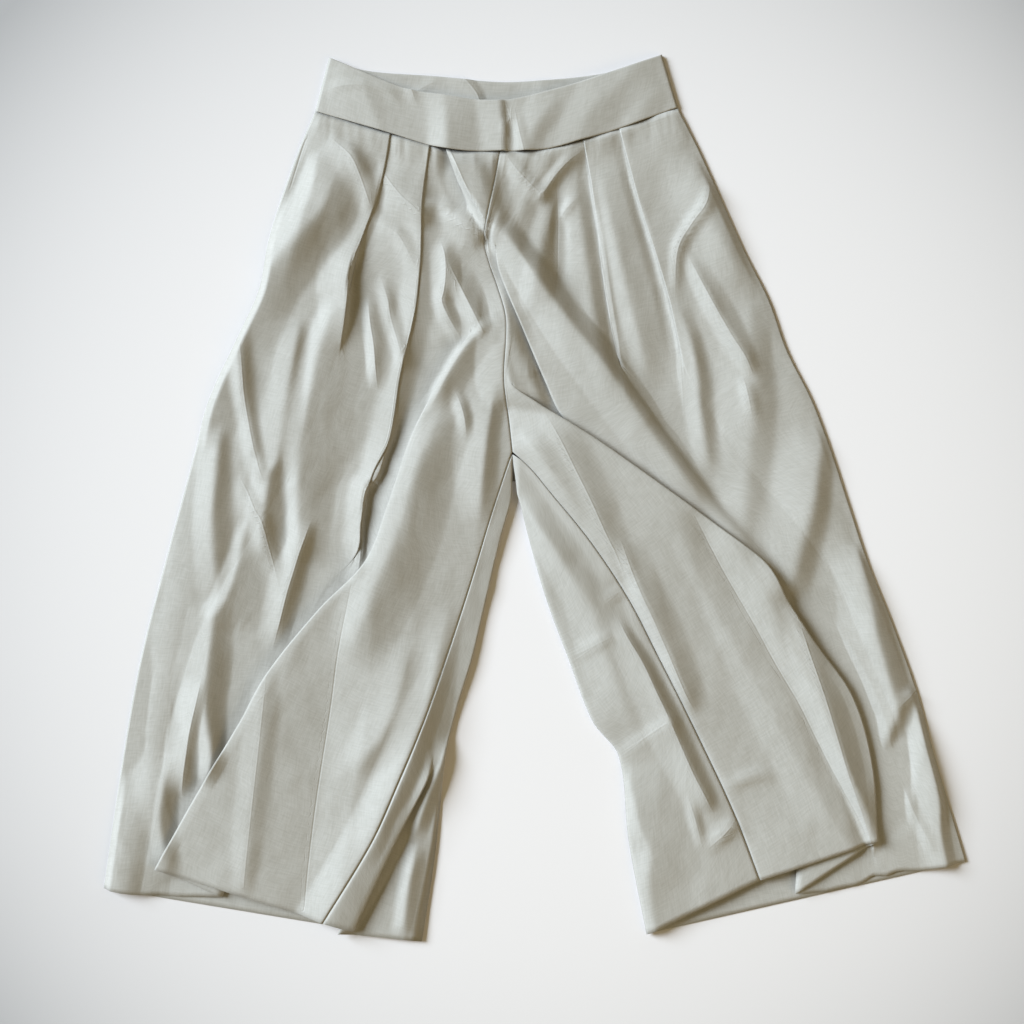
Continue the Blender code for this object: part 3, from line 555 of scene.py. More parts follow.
        (129, 615, 0, 7.8, 39), (134, 650, 3, 7.8, 49.4), (141, 680, 3.2, 11.7, 54.6),
        (151, 700, 3.2, 15.6, 49.4), (148, 730, 3, 15.6, 44.2), (152, 760, 2, 13, 36.4),
        (155, 782, 2, 10.4, 31.2),
    )),
    "wrap_line_one": (1.3, 1, (
        (187, 644, 0, 6.5, 6.5), (195, 670, 2, 7.8, 7.8), (203, 702, 0, 6.5, 6.5),
    )),
    "wrap_line_two": (1.3, 1, (
        (204, 701, 0, 6.5, 7.8), (218, 688, 2.2, 7.8, 9.1), (229, 677, 2.2, 7.8, 9.1),
        (235, 668, 0, 6.5, 6.5),
    )),
    "wrap_top": (1.35, 3, (
        (22, 348, 0, 7.8, 13), (35, 370, 2.5, 10.4, 18.2), (52, 395, 3.5, 15.6, 20.8),
        (70, 425, 3, 18.2, 20.8), (90, 460, 0, 18.2, 15.6),
    )),
    "wrap_soft": (1.35, 5, (
        (75, 410, 0, 20.8, 20.8), (90, 450, 2.5, 23.4, 26), (105, 500, 3, 26, 28.6),
        (122, 550, 2, 26, 28.6), (132, 585, 0, 20.8, 23.4),
    )),
    "inseam_crest": (1, 2, (
        (-48, 490, 0, 16, 8), (-62, 532, 1.5, 20, 16), (-75, 570, 3, 24, 24), (-100, 630, 4.6, 26, 28),
        (-127, 690, 5.2, 28, 30), (-155, 738, 5.2, 28, 30), (-180, 778, 4.8, 28, 30),
    )),
    "under_one": (1.35, 2, (
        (-52, 585, 0, 10.4, 10.4), (-57, 607, 3, 11.7, 11.7), (-70, 640, 4, 13, 11.7),
        (-80, 668, 3, 11.7, 10.4), (-86, 690, 0, 10.4, 10.4),
    )),
    "under_two": (1.35, 2, (
        (-82, 690, 0, 9.1, 10.4), (-86, 710, 2.6, 10.4, 11.7), (-92, 740, 3, 10.4, 13),
        (-96, 775, 2.5, 10.4, 13),
    )),
}
BAND_CREASES = {
    "band_start": (1.1, 2, (
        (-140, -80, 0, 12, 28), (-132, -52, 2, 14, 36), (-123, -30, 2.4, 14, 38), (-114, -10, 2, 12, 36),
    )),
    "band_step": (1.05, 1.6, (
        (-57, -60, 1.4, 16, 26), (-54, -38, 3.4, 18, 30), (-53, -16, 4.8, 18, 34), (-53, 1, 5.2, 18, 34),
    )),
    "band_light": (1, 1.4, (
        (-1, -54, 2, 22, 5), (2, -30, 3.2, 24, 5), (4, 0, 3.4, 24, 5),
    )),
    "band_groove": (1, 1, (
        (4, -53, -0.9, 3, 9), (6, -30, -1.4, 3, 10), (7, 0, -1.4, 3, 10),
    )),
    "band_crease": (1.1, 0.6, (
        (14, -44, 0, 5, 6), (18, -24, 1.6, 6, 8), (24, 2, 2.2, 7, 9),
    )),
    "band_pinch": (1.1, 0.5, (
        (3, -50, 0, 4, 5), (10, -34, 1.6, 5, 6), (5, -20, 1.6, 5, 6), (12, 0, 0, 5, 6),
    )),
    "band_wave": (1.1, 2.6, (
        (150, -96, 0.8, 20, 18), (128, -74, 2, 24, 22), (106, -54, 2.6, 26, 24), (88, -32, 2.3, 24, 22),
        (76, -4, 1.4, 20, 18),
    )),
    "band_wave_two": (1.1, 2.2, (
        (60, -54, 0.4, 16, 12), (46, -38, 2.6, 20, 14), (34, -20, 3, 20, 12), (30, -2, 2.4, 18, 12),
    )),
    "band_small": (1.2, 0.8, (
        (-90, -64, 2, 7, 5), (-82, -42, 0, 6, 5),
    )),
    "band_left_soft": (1.1, 4, (
        (-155, -90, 0, 20, 24), (-148, -58, 2.4, 22, 28), (-140, -25, 1.6, 20, 24),
    )),
    "band_long": (1, 0.8, (
        (-180, -58, 0, 4, 6), (-155, -64, 1.2, 4, 7), (-130, -63, 1.2, 4, 7), (-102, -56, 0, 4, 6),
    )),
    "band_edge_one": (1.2, 0.8, (
        (-128, -66, 0, 5, 6), (-112, -58, 1.2, 6, 7), (-98, -44, 0, 5, 6),
    )),
    "band_right_soft": (1.1, 4, (
        (164, -70, 0, 18, 14), (150, -54, 1.8, 20, 16), (140, -34, 1.6, 18, 14),
    )),
}
INSIDE_CREASES = {
    "inside_fold": (1.1, 1, (
        (-50, -80, 1.6, 26, 8), (-36, -72, 2.4, 26, 7), (-24, -58, 2.6, 22, 6), (-20, -48, 2.2, 18, 6),
    )),
    "inside_line": (1.2, 1, (
        (-90, -55, 0, 4, 5), (-76, -64, 0.9, 5, 5), (-60, -71, 0, 4, 4),
    )),
    "inside_right": (1, 4, (
        (40, -72, 1, 16, 20), (48, -50, 1.4, 16, 20),
    )),
}

# Share of its thickness that a shell keeps at its rim, how wide creases fade beside the side seams, and
# how far and how wide the cloth dips beside a seam
RIM_SHARE = 0.55
SIDE_FADE = 9.0
SEAM_DIP = 0.25
SEAM_DIP_WIDTH = 2.4
# Creases are raised by CREASE_RISE, and none goes far above LIFT_LIMIT
LIFT_LIMIT = 18.0
CREASE_RISE = 1.85
CREASE_STEPS = 5
NARROWEST_SLOPE = 0.5
SEWN_FADE = 16
# Only cloth that turns over the leg's inner fold is raised on a back panel
OVER_Z = (1.5, 3.0)

# Length of a panel for its rows, and the share of it that is drawn towards the waist seam
FRONT_LENGTH = 770.0
FRONT_SEWN = 0.04
BACK_LENGTH = 790.0
BACK_SEWN = 0.08
BAND_COLUMNS = 130
BAND_STEPS = np.concatenate([[0, 0.012, 0.035], np.linspace(0.07, 0.96, 16), [0.985, 1.0]])
BAND_END_FADE = 14
BAND_CRUMPLE = 0.5
BAND_LOWEST = -0.5
BACK_BAND_LIFT = 0.3

# Small facets: turn, size, height, how much longer than wide, seed
CRUMPLES = (
    (0.25, 34.0, 0.7, 1.8, 11), (-0.4, 26.0, 0.5, 1.5, 12), (1.2, 42.0, 0.7, 1.4, 13),
    (0.6, 13.0, 0.22, 1.4, 14),
)
# How their corners wander: size beside the facets' own, and what is added to the seed
WANDER = 0.5
WANDER_ACROSS = (2.3, 50)
WANDER_DOWN = (2.9, 70)
LATTICE = 64
LATTICE_START = 20.0
# Where the panels meet the band: reach of the rise, its step, and how wide it reads the cloth's top
WAIST_FADE = 34.0
BAND_MEETING = 0.1
MEETING_STEP = 2.0
MEETING_REACH = 2.5
MEETING_SPREAD = 7
# The left flap lies a little lower than in the solid
FLAP_EASE = 0.9
# Up to this width, cloth beside a fold has a lower crown
CROWN_WIDTH = 90.0
PUCKER_SIZE = 15.0
PUCKER_HEIGHT = 0.7
PUCKER_START = (0, 3)
PUCKER_END = (4, 34)

# The cloth's own maps: its grain, how far the nearest sewn edge is, and the nearest pressed line
GRAIN_MAP = "grain"
EDGE_MAP = "edge"
PRESSED_MAP = "pressed"
# A crease with a crest rounder than this leaves no pressed line, and one this high leaves a full line
PRESSED_ROUND = 1.0
PRESSED_FULL = 3.0
PRESSED_NEAR = 2.8
PRESSED_FAR = 5.2
PRESSED_WIDTH = 0.0013
PRESSED_HEIGHT = 0.00045
# The weave: width and height of a thread, how far threads wander, and the thicker threads among them
THREAD = 0.0011
THREAD_HEIGHT = 0.00003
THREAD_WANDER = 0.0006
SLUB_HEIGHT = 0.0001
SLUB_LONG = 70.0
SLUB_SHORT = 700.0
# The groove along a seam
GROOVE_WIDTH = 0.0016
GROOVE_HEIGHT = 0.0003
# Fine wrinkles: how many in a metre, their height, and how they are drawn out
WRINKLES = 24.0
WRINKLE_HEIGHT = 0.0007
WRINKLE_STRETCH = (1.0, 0.55, 1.0)
BUMP_STRENGTH = 0.7
COTTON_PALE = (0.480, 0.456, 0.424, 1.0)
COTTON_DEEP = (0.394, 0.372, 0.336, 1.0)
COTTON_ROUGH = 0.62
SHEEN = 0.12
SHEEN_TINT = (0.95, 0.97, 1.0, 1.0)

# Straight above, as in the photo
LENS = 58.0
CAMERA_HEIGHT = 1.5888
VIEW_CENTRE = (-0.02208, -0.01344)
# The paper is palest in a painted pool of light, an oval under the garment, and painted shade darkens it
# round that: the oval's middle, and how wide and deep
PAPER = (0.84, 0.795, 0.80, 1.0)
PAPER_PAINTED_SHADE = (0.42, 0.405, 0.41, 1.0)
PAINTED_POOL_MIDDLE = (0.0, -0.04)
PAINTED_POOL_REACH = (0.70, 0.74)
FLOOR_REACH = 9.0
# A large cool light from the upper left, and warm light from all round and from the lower right
WORLD_COLOUR = (1.0, 0.84, 0.46, 1.0)
WORLD_STRENGTH = 0.22
KEY_PLACE = (-13.4, 5.6, 8.2)
KEY_SIZE = (8.6, 8.6)
KEY_POWER = 5900.0
KEY_COLOUR = (0.77, 0.895, 1.0)
FILL_PLACE = (2.8, -2.2, 2.3)
FILL_SIZE = (2.0, 2.0)
FILL_POWER = 28.0
FILL_COLOUR = (1.0, 0.80, 0.46)


def along(table, place):
    """Reads a table smoothly at places in its first column; gives its other columns."""
    rows = np.array(table, dtype=float)
    keys, values = rows[:, 0], rows[:, 1:]
    place = np.clip(np.asarray(place, dtype=float), keys[0], keys[-1])
    row = np.clip(np.searchsorted(keys, place, side="left") - 1, 0, len(keys) - 2)
    low = np.maximum(np.arange(len(keys)) - 1, 0)
    high = np.minimum(np.arange(len(keys)) + 1, len(keys) - 1)
    slopes = (values[high] - values[low]) / (keys[high] - keys[low])[:, None]
    length = (keys[row + 1] - keys[row])[..., None]
    t = (place - keys[row])[..., None] / length
    read = (2 * t**3 - 3 * t**2 + 1) * values[row] + (3 * t**2 - 2 * t**3) * values[row + 1]
    read += (t**3 - 2 * t**2 + t) * length * slopes[row] + (t**3 - t**2) * length * slopes[row + 1]
    return [read[..., column] for column in range(values.shape[1])]


def smooth(low, high, value):
    """From 0 at low to 1 at high, without a corner."""
    t = np.clip((value - low) / (high - low), 0.0, 1.0)
    return t * t * (3 - 2 * t)


def mix(a, b, t):
    return a + (b - a) * t


def point(across, down, height):
    """Control points, one for each row: across, down and height."""
    return np.stack(np.broadcast_arrays(*np.atleast_1d(across, down, height)), axis=-1).astype(float)


def line_at(table, share):
    """A table's line at a share of its length: down, then its other columns."""
    down = mix(table[0][0], table[-1][0], share)
    return [down] + along(table, down)


def front_seam_at(inseam, share):
    """The centre front seam above the crotch, then the leg's inseam: down, across, height."""
    centre_down = mix(CENTRE_FRONT[0][0] + PLAN_GAP / 2, CROTCH_DOWN, share / CROTCH_SHARE)
    leg_down = mix(CROTCH_DOWN, inseam[-1][0], (share - CROTCH_SHARE) / (1 - CROTCH_SHARE))
    above = share < CROTCH_SHARE
    centre, leg = along(CENTRE_FRONT, centre_down), along(inseam, leg_down)
    return [np.where(above, centre_down, leg_down)] + [np.where(above, a, b) for a, b in zip(centre, leg)]


def turn_back(first, second, side=1, before=REACH, after=REACH):
    """Control points of cloth that runs to first, turns back to second and runs on."""
    drop = first[:, 2] - second[:, 2]
    layer = np.copysign(np.minimum(np.abs(drop) * LAYER_SHARE, LAYER), drop)
    upper, lower = first[:, 2] - layer, second[:, 2] + layer
    return [
        point(first[:, 0] - before * side, first[:, 1], first[:, 2]),
        first,
        point(first[:, 0], first[:, 1], upper),
        point((first[:, 0] + second[:, 0]) / 2, (first[:, 1] + second[:, 1]) / 2, (upper + lower) / 2),
        point(second[:, 0], second[:, 1], lower),
        second,
        point(second[:, 0] + after * side, second[:, 1], second[:, 2]),
    ]


def between(a, b, t, height):
    """Control points at a share of the way from a to b, at their own height."""
    return point(mix(a[:, 0], b[:, 0], t), mix(a[:, 1], b[:, 1], t), height)


def cover(edge, root, side):
    """The top layer beside a fold's edge, at full height before it passes over the fold's root."""
    reach = np.maximum((root[:, 0] - edge[:, 0]) * side, REACH) + COVER
    return point(edge[:, 0] + reach * side, edge[:, 1], edge[:, 2])


def crowned(edge, seam, edge_z, seam_z):
    """The cloth's soft crown between a fold's edge and a seam, lower where they are near each other."""
    share = np.minimum(np.abs(seam[:, 0] - edge[:, 0]) / CROWN_WIDTH, 1)
    return [between(edge, seam, t, mix(edge_z, seam_z, t) + h * share) for t, h in FLAP_CROWN]


def pleat_height(depth):
    return BASE_Z + PLEAT_RISE * smooth(*PLEAT_CLOSES, depth)


def root_height(edge_z, depth, base):
    """Where a fold lies open, its root stays level with the cloth beside it."""
    return mix(edge_z, base, smooth(*ROOT_SINKS, depth))


def front_left_section(share):
    """The left front from its side seam over two pleats and the loose fold to the centre seam and inseam."""
    side_down, side = line_at(SIDE_LEFT, share)
    one_down, one, one_depth = line_at(PLEAT_ONE, share)
    two_down, two, two_depth = line_at(PLEAT_TWO, share)
    flap_down, flap, flap_depth, flap_z = line_at(LEFT_FLAP, share)
    flap_z = mix(BASE_Z, flap_z, FLAP_EASE)
    seam_down, seam, seam_z = front_seam_at(INSEAM_LEFT, share)
    root_down = flap_down + LEFT_ROOT_DROP * smooth(*ROOT_DROPS, share)
    side_point = point(side, side_down, SIDE_Z)
    one_edge = point(one, one_down, pleat_height(one_depth))
    one_root = point(one - one_depth, one_down, BASE_Z)
    two_edge = point(two, two_down, pleat_height(two_depth))
    two_root = point(two - two_depth, two_down, BASE_Z)
    flap_root = point(flap + flap_depth, root_down, root_height(flap_z, flap_depth, BASE_Z))
    flap_edge = point(flap, flap_down, flap_z)
    seam_point = point(seam - PLAN_GAP / 2, seam_down, seam_z)
    controls = [side_point, point(side + SIDE_INSET, side_down, SIDE_INSET_Z)]
    one_cover = cover(one_edge, one_root, -1)
    controls += [between(side_point, one_cover, t, BASE_Z + BELLY * h) for t, h in SIDE_CROWN]
    controls += [one_cover]
    controls += turn_back(one_edge, one_root)
    controls += [point(np.maximum(one, one - one_depth + REACH) + COVER, one_down, BASE_Z)]
    controls += [cover(two_edge, two_root, -1)]
    controls += turn_back(two_edge, two_root)
    controls += [between(two_root, flap_root, 0.5, BASE_Z)]
    controls += turn_back(flap_root, flap_edge, after=np.minimum(REACH, (seam_point[:, 0] - flap) / 4))
    controls += crowned(flap_edge, seam_point, flap_z, seam_z)
    return controls + [seam_point]


def front_right_section(share):
    """The right front from the centre seam and inseam over its two folds and two pleats to its side seam."""
    seam_down, seam, seam_z = front_seam_at(INSEAM_RIGHT, share)
    flap_down, flap, flap_depth, flap_z = line_at(RIGHT_FLAP, share)
    cross_down, cross, cross_depth, cross_z = line_at(CROSS_FOLD, share)
    ridge_down, ridge, ridge_z = line_at(CROSS_RIDGE, share)
    three_down, three, three_depth = line_at(PLEAT_THREE, share)
    four_down, four, four_depth = line_at(PLEAT_FOUR, share)
    side_down, side = line_at(SIDE_RIGHT, share)
    root_down = flap_down + RIGHT_ROOT_DROP * smooth(*ROOT_DROPS, share)
    seam_point = point(seam + PLAN_GAP / 2, seam_down, seam_z)
    flap_edge = point(flap, flap_down, flap_z)
    flap_root = point(flap - flap_depth, root_down, root_height(flap_z, flap_depth, FOLD_ROOT_Z))
    cross_root = point(cross + cross_depth, cross_down, root_height(cross_z, cross_depth, FOLD_ROOT_Z))
    cross_edge = point(cross, cross_down, cross_z)
    three_root = point(three + three_depth, three_down, BASE_Z)
    three_edge = point(three, three_down, pleat_height(three_depth))
    four_root = point(four + four_depth, four_down, BASE_Z)
    four_edge = point(four, four_down, pleat_height(four_depth))
    side_point = point(side, side_down, SIDE_Z)
    controls = [seam_point]
    controls += crowned(flap_edge, seam_point, flap_z, seam_z)[::-1]
    room = np.minimum(REACH, (cross_root[:, 0] - flap_root[:, 0]) * 0.4)
    narrow = np.minimum(REACH, (flap - seam_point[:, 0]) / 4)
    controls += turn_back(flap_edge, flap_root, before=narrow, after=room)
    controls += turn_back(cross_root, cross_edge, before=room)
    valley = along(VALLEY_REACH, ridge_down)[0]
    controls += [point(ridge, ridge_down, ridge_z), point(ridge + valley, ridge_down, VALLEY_Z)]
    three_cover = cover(three_edge, three_root, 1)
    four_cover = cover(four_edge, four_root, 1)
    controls += turn_back(three_root, three_edge)
    controls += [three_cover, point(mix(three_cover[:, 0], four_root[:, 0] - REACH, 0.5), four_down, BASE_Z)]
    controls += turn_back(four_root, four_edge)
    controls += [four_cover]
    controls += [between(side_point, four_cover, t, BASE_Z + BELLY * h) for t, h in reversed(SIDE_CROWN)]
    return controls + [point(side - SIDE_INSET, side_down, SIDE_INSET_Z), side_point]


def back_section(share, side_table, inner_table, inseam_table, hand, strip):
    """A back panel: flat to the leg's inner fold, then over it to the inseam; flat above the notch.

    hand is 1 for the left panel and -1 for the right one. strip says whether the cloth beside the inseam is
    folded once more.
    """
    side_down, side = line_at(side_table, share)
    below = (share - INSEAM_SHARE) / (1.0 - INSEAM_SHARE)
    seat = below < -1e-6
    gap = hand * PLAN_GAP / 2
    seat_down = mix(BACK_BAND_SEAM[2][1], NOTCH_DOWN, share / NOTCH_SHARE)
    seat_across = mix(0, NOTCH_ACROSS, smooth(0.0, NOTCH_SHARE, share)) - gap
    leg_down = mix(BACK_CROTCH_DOWN, inseam_table[-1][0], below)
    corner = below < 1e-6
    leg_across, leg_z = along(inseam_table, np.where(corner, CROTCH_DOWN, leg_down))
    leg_across = leg_across + np.where(corner, -gap, gap)
    end = point(np.where(seat, seat_across, leg_across), np.where(seat, seat_down, leg_down),
                np.where(seat, FLOOR_Z, leg_z))
    inner_down = mix(INSEAM_TURN_DOWN, inner_table[-1][0], below)
    inner = along(inner_table, inner_down)[0]
    turn = point(np.where(seat, seat_across - SEAT_END * hand, inner), np.where(seat, seat_down, inner_down),
                 np.where(seat, FLOOR_Z, FLOOR_Z + LEG_TURN))
    start = np.where(seat, TURN_INSET * hand, 0.0)
    side_point = point(side, side_down, FLOOR_Z)
    controls = [between(side_point, turn, t, FLOOR_Z) for t in BACK_STEPS]
    controls += [point(turn[:, 0], turn[:, 1], FLOOR_Z), turn + point(start, 0, 0)]
    over = [between(turn, end, t, mix(turn[:, 2], end[:, 2], t)) for t in STRIP_STEPS]
    if not strip:
        crown = np.where(seat, 0.0, WRAP_CROWN)
        for t, laid in list(zip(STRIP_STEPS, over))[::2]:
            controls += [laid + point(0, 0, crown * math.sin(t * math.pi))]
    else:
        depth, rise = along(STRIP_FOLD, share)
        middle = mix(turn[:, 0], end[:, 0], STRIP_MIDDLE)
        edge = mix(middle, along(STRIP_EDGE, end[:, 1] + STRIP_EDGE_BELOW)[0], smooth(*STRIP_PARTS, share))
        root = edge - np.where(depth > 0, depth, -REACH) * hand
        low, high = (
            point(across, mix(turn[:, 1], end[:, 1], way), mix(turn[:, 2], end[:, 2], up) + rise * part)
            for across, (way, up, part) in ((root, STRIP_LOW), (edge, STRIP_HIGH))
        )
        folded = smooth(*STRIP_WIDE, np.abs(turn[:, 0] - end[:, 0])) * (below > 0)
        for flat, turned in zip(over, turn_back(low, high, -hand)):
            controls += [mix(flat, turned, folded[:, None])]
    return controls + [end]


def laid_grid(section, shares, band_seam, sewn_share, step=STEP, coarse=0):
    """Reads a panel's sections as a grid of points in millimetres: its rows, then its columns.

    Above sewn_share the rows are drawn towards the seam with the waistband. The first coarse intervals are
    cloth that lies hidden on the floor, so their columns are wider apart.
    """
    controls = np.array(section(shares))
    before, after = 2 * controls[:1] - controls[1:2], 2 * controls[-1:] - controls[-2:-1]
    controls = np.concatenate([before, controls, after])
    lengths = np.linalg.norm(np.diff(controls[1:-1], axis=0), axis=2).max(axis=1)
    columns = []
    for index, length in enumerate(lengths):
        wide = FLAT_STEP if index < coarse else step
        count = max(int(math.ceil(length * GRADE / wide)), 2)
        for f in np.arange(count) / count:
            columns.append((index, f))
    columns.append((len(lengths) - 1, 1.0))
    grid = []
    for index, f in columns:
        weights = ((1 - f) ** 3, 3 * f**3 - 6 * f**2 + 4, -3 * f**3 + 3 * f**2 + 3 * f + 1, f**3)
        grid.append(sum(w * controls[index + place] for place, w in enumerate(weights)) / 6)
    grid = np.stack(grid, axis=1)
    top, sewn = grid[0].copy(), np.searchsorted(shares, sewn_share)
    top[:, 1] = along(band_seam, top[:, 0])[0] + PLAN_GAP / 2
    for row in range(sewn):
        grid[row] = mix(top, grid[sewn], shares[row] / shares[sewn])
    return grid


def row_shares(length, *marks):
    """Shares of a panel's length for its rows, with the marks among them."""
    shares = []
    for low, high in zip(marks, marks[1:]):
        count = max(int(round((high - low) * length * GRADE / ROW_STEP)), 1)
        shares += [mix(low, high, row / count) for row in range(count)]
    return np.array(shares + [marks[-1]])


def crease_field(creases, across, down):
    """Adds up the creases' heights at points of the lay, in millimetres, and finds the lines that they press.

    A crease is (sharpness, roundness of its crest, its points), and a point is across, down, height, and the
    widths of its left and right slopes for someone who walks along it. A pressed line is told by how far each
    point is from it, + on its right, and by its strength there, + on a ridge and - in a trough.
    """
    total = np.zeros_like(across)
    line_off, line_power = np.full_like(across, PRESSED_FAR), np.zeros_like(across)
    for sharpness, roundness, path in creases.values():
        nodes = np.array(path, dtype=float)
        places = np.linspace(0, len(nodes) - 1, (len(nodes) - 1) * CREASE_STEPS + 1)
        line = np.stack(along(np.column_stack([np.arange(len(nodes)), nodes]), places), axis=-1)
        wide = max(nodes[:, 3:].max(), PRESSED_FAR) + 2
        near = (across > line[:, 0].min() - wide) & (across < line[:, 0].max() + wide)
        near &= (down > line[:, 1].min() - wide) & (down < line[:, 1].max() + wide)
        if not near.any():
            continue
        x, y = across[near], down[near]
        best = np.full(x.shape, 1e9)
        height, crest, off = np.zeros_like(x), np.zeros_like(x), np.zeros_like(x)
        for a, b in zip(line, line[1:]):
            dx, dy = b[0] - a[0], b[1] - a[1]
            size = max(dx * dx + dy * dy, 1e-9)
            t = np.clip(((x - a[0]) * dx + (y - a[1]) * dy) / size, 0, 1)
            off_x, off_y = x - a[0] - t * dx, y - a[1] - t * dy
            distance = np.hypot(off_x, off_y)
            right = off_x * dy - off_y * dx > 0
            h, left_width, right_width = (mix(a[k], b[k], t) for k in (2, 3, 4))
            width = np.where(right, right_width, left_width)
            slope = 1 - (np.sqrt(distance**2 + roundness**2) - roundness) / np.maximum(width, NARROWEST_SLOPE)
            found = h * np.clip(slope, 0, 1) ** sharpness
            nearer = distance < best
            best = np.where(nearer, distance, best)
            height, crest = np.where(nearer, found, height), np.where(nearer, h, crest)
            off = np.where(nearer, np.where(right, distance, -distance), off)
        total[near] += height
        if roundness <= PRESSED_ROUND:
            nearer = best < np.abs(line_off[near])
            power = np.clip(crest / PRESSED_FULL, -1, 1) * (1 - smooth(PRESSED_NEAR, PRESSED_FAR, best))
            line_power[near] = np.where(nearer, power, line_power[near])
            line_off[near] = np.where(nearer, off, line_off[near])
    return total, line_off, line_power


def corners_around(lattice, x, y):
    """A lattice's values at the four corners round each point, and the point's place between them."""
    i, j = np.floor(x).astype(int), np.floor(y).astype(int)
    corners = [lattice[(j + b) % LATTICE, (i + a) % LATTICE] for a, b in ((0, 0), (1, 0), (0, 1), (1, 1))]
    return corners, x - i, y - j


def ripple(across, down, size, seed, ridged=True):
    """Small uneven swells of the cloth, from -1 to 1; ridged ones have crisp crests."""
    lattice = np.random.default_rng(seed).random((LATTICE, LATTICE))
    corner, u, v = corners_around(lattice, across / size + LATTICE_START, down / size + LATTICE_START)
    u, v = smooth(0, 1, u), smooth(0, 1, v)
    value = 2 * mix(mix(corner[0], corner[1], u), mix(corner[2], corner[3], u), v) - 1
    return 1 - 2 * np.abs(value) if ridged else value


def facets(across, down, size, longer, seed):
    """Flat planes of crisp cloth that meet in straight creases, from -1 to 1."""
    lattice = 2 * np.random.default_rng(seed).random((LATTICE, LATTICE)) - 1
    x, y = across / size + LATTICE_START, down / (size * longer) + LATTICE_START
    x = x + WANDER * ripple(across, down, size * WANDER_ACROSS[0], seed + WANDER_ACROSS[1], False)
    y = y + WANDER * ripple(across, down, size * WANDER_DOWN[0], seed + WANDER_DOWN[1], False)
    (near, right, below, far), u, v = corners_around(lattice, x, y)
    upper = near + (right - near) * u + (far - right) * v
    lower = near + (far - below) * u + (below - near) * v
    return np.where(u > v, upper, lower)


def crumple(across, down):
    """The low facets all over crisp cloth, most of them longer than wide and steep."""
    total = np.zeros_like(across)
    for turn, size, height, longer, seed in CRUMPLES:
        c, s = math.cos(turn), math.sin(turn)
        total += height * facets(c * across + s * down, c * down - s * across, size, longer, seed)
    return total


def puckers(across, down, seam_down):
    """Short gathers just under the waist seam, which fade on the way down."""
    large = ripple(across, down * 0.12, PUCKER_SIZE, 41)
    small = ripple(across, down * 0.2, PUCKER_SIZE / 2.2, 43)
    below = down - seam_down
    wave = large + 0.6 * small
    return PUCKER_HEIGHT * wave * smooth(*PUCKER_START, below) * (1 - smooth(*PUCKER_END, below))


def meet_band(grid):
    """Brings the top layer at the waist seam up to the waistband's lower edge."""
    across, height = grid[0, :, 0], grid[0, :, 2]
    places = np.arange(across.min(), across.max() + 2, MEETING_STEP)
    top = np.array([height[np.abs(across - place) <= MEETING_REACH].max(initial=0.0) for place in places])
    share = (places - FRONT_BAND_SEAM[0][0]) / (FRONT_BAND_SEAM[-1][0] - FRONT_BAND_SEAM[0][0])
    rise = np.maximum(front_band_height(share) + BAND_MEETING - top, 0.0) * (top > 0)
    padded = np.pad(rise, MEETING_SPREAD // 2, mode="edge")
    rise = np.convolve(padded, np.ones(MEETING_SPREAD) / MEETING_SPREAD, mode="valid")
    below = grid[..., 1] - along(FRONT_BAND_SEAM, grid[..., 0])[0]
    grid[..., 2] += np.interp(grid[..., 0], places, rise) * (1 - smooth(0, WAIST_FADE, below))
    return grid


def lift(grid, edge_fade, over_only=False):
    """Raises a panel's layers by the creases, faded where the cloth is sewn; gives its pressed lines too."""
    across, down, height = grid[..., 0], grid[..., 1], grid[..., 2]
    seam_down = along(FRONT_BAND_SEAM, across)[0]
    raised, line_off, line_power = crease_field(PANEL_CREASES, across, down)
    raised = LIFT_LIMIT * np.tanh(CREASE_RISE * raised / LIFT_LIMIT)
    raised = (raised + crumple(across, down)) * smooth(0, SEWN_FADE, down - seam_down)
    raised += puckers(across, down, seam_down)
    raised *= edge_fade
    if over_only:
        raised *= smooth(*OVER_Z, height)
        floor = np.minimum(height, FLOOR_Z)
    else:
        floor = np.minimum(height, SIDE_Z)
    grid[..., 2] = np.maximum(height + raised, floor)
    return grid, (line_off, line_power)


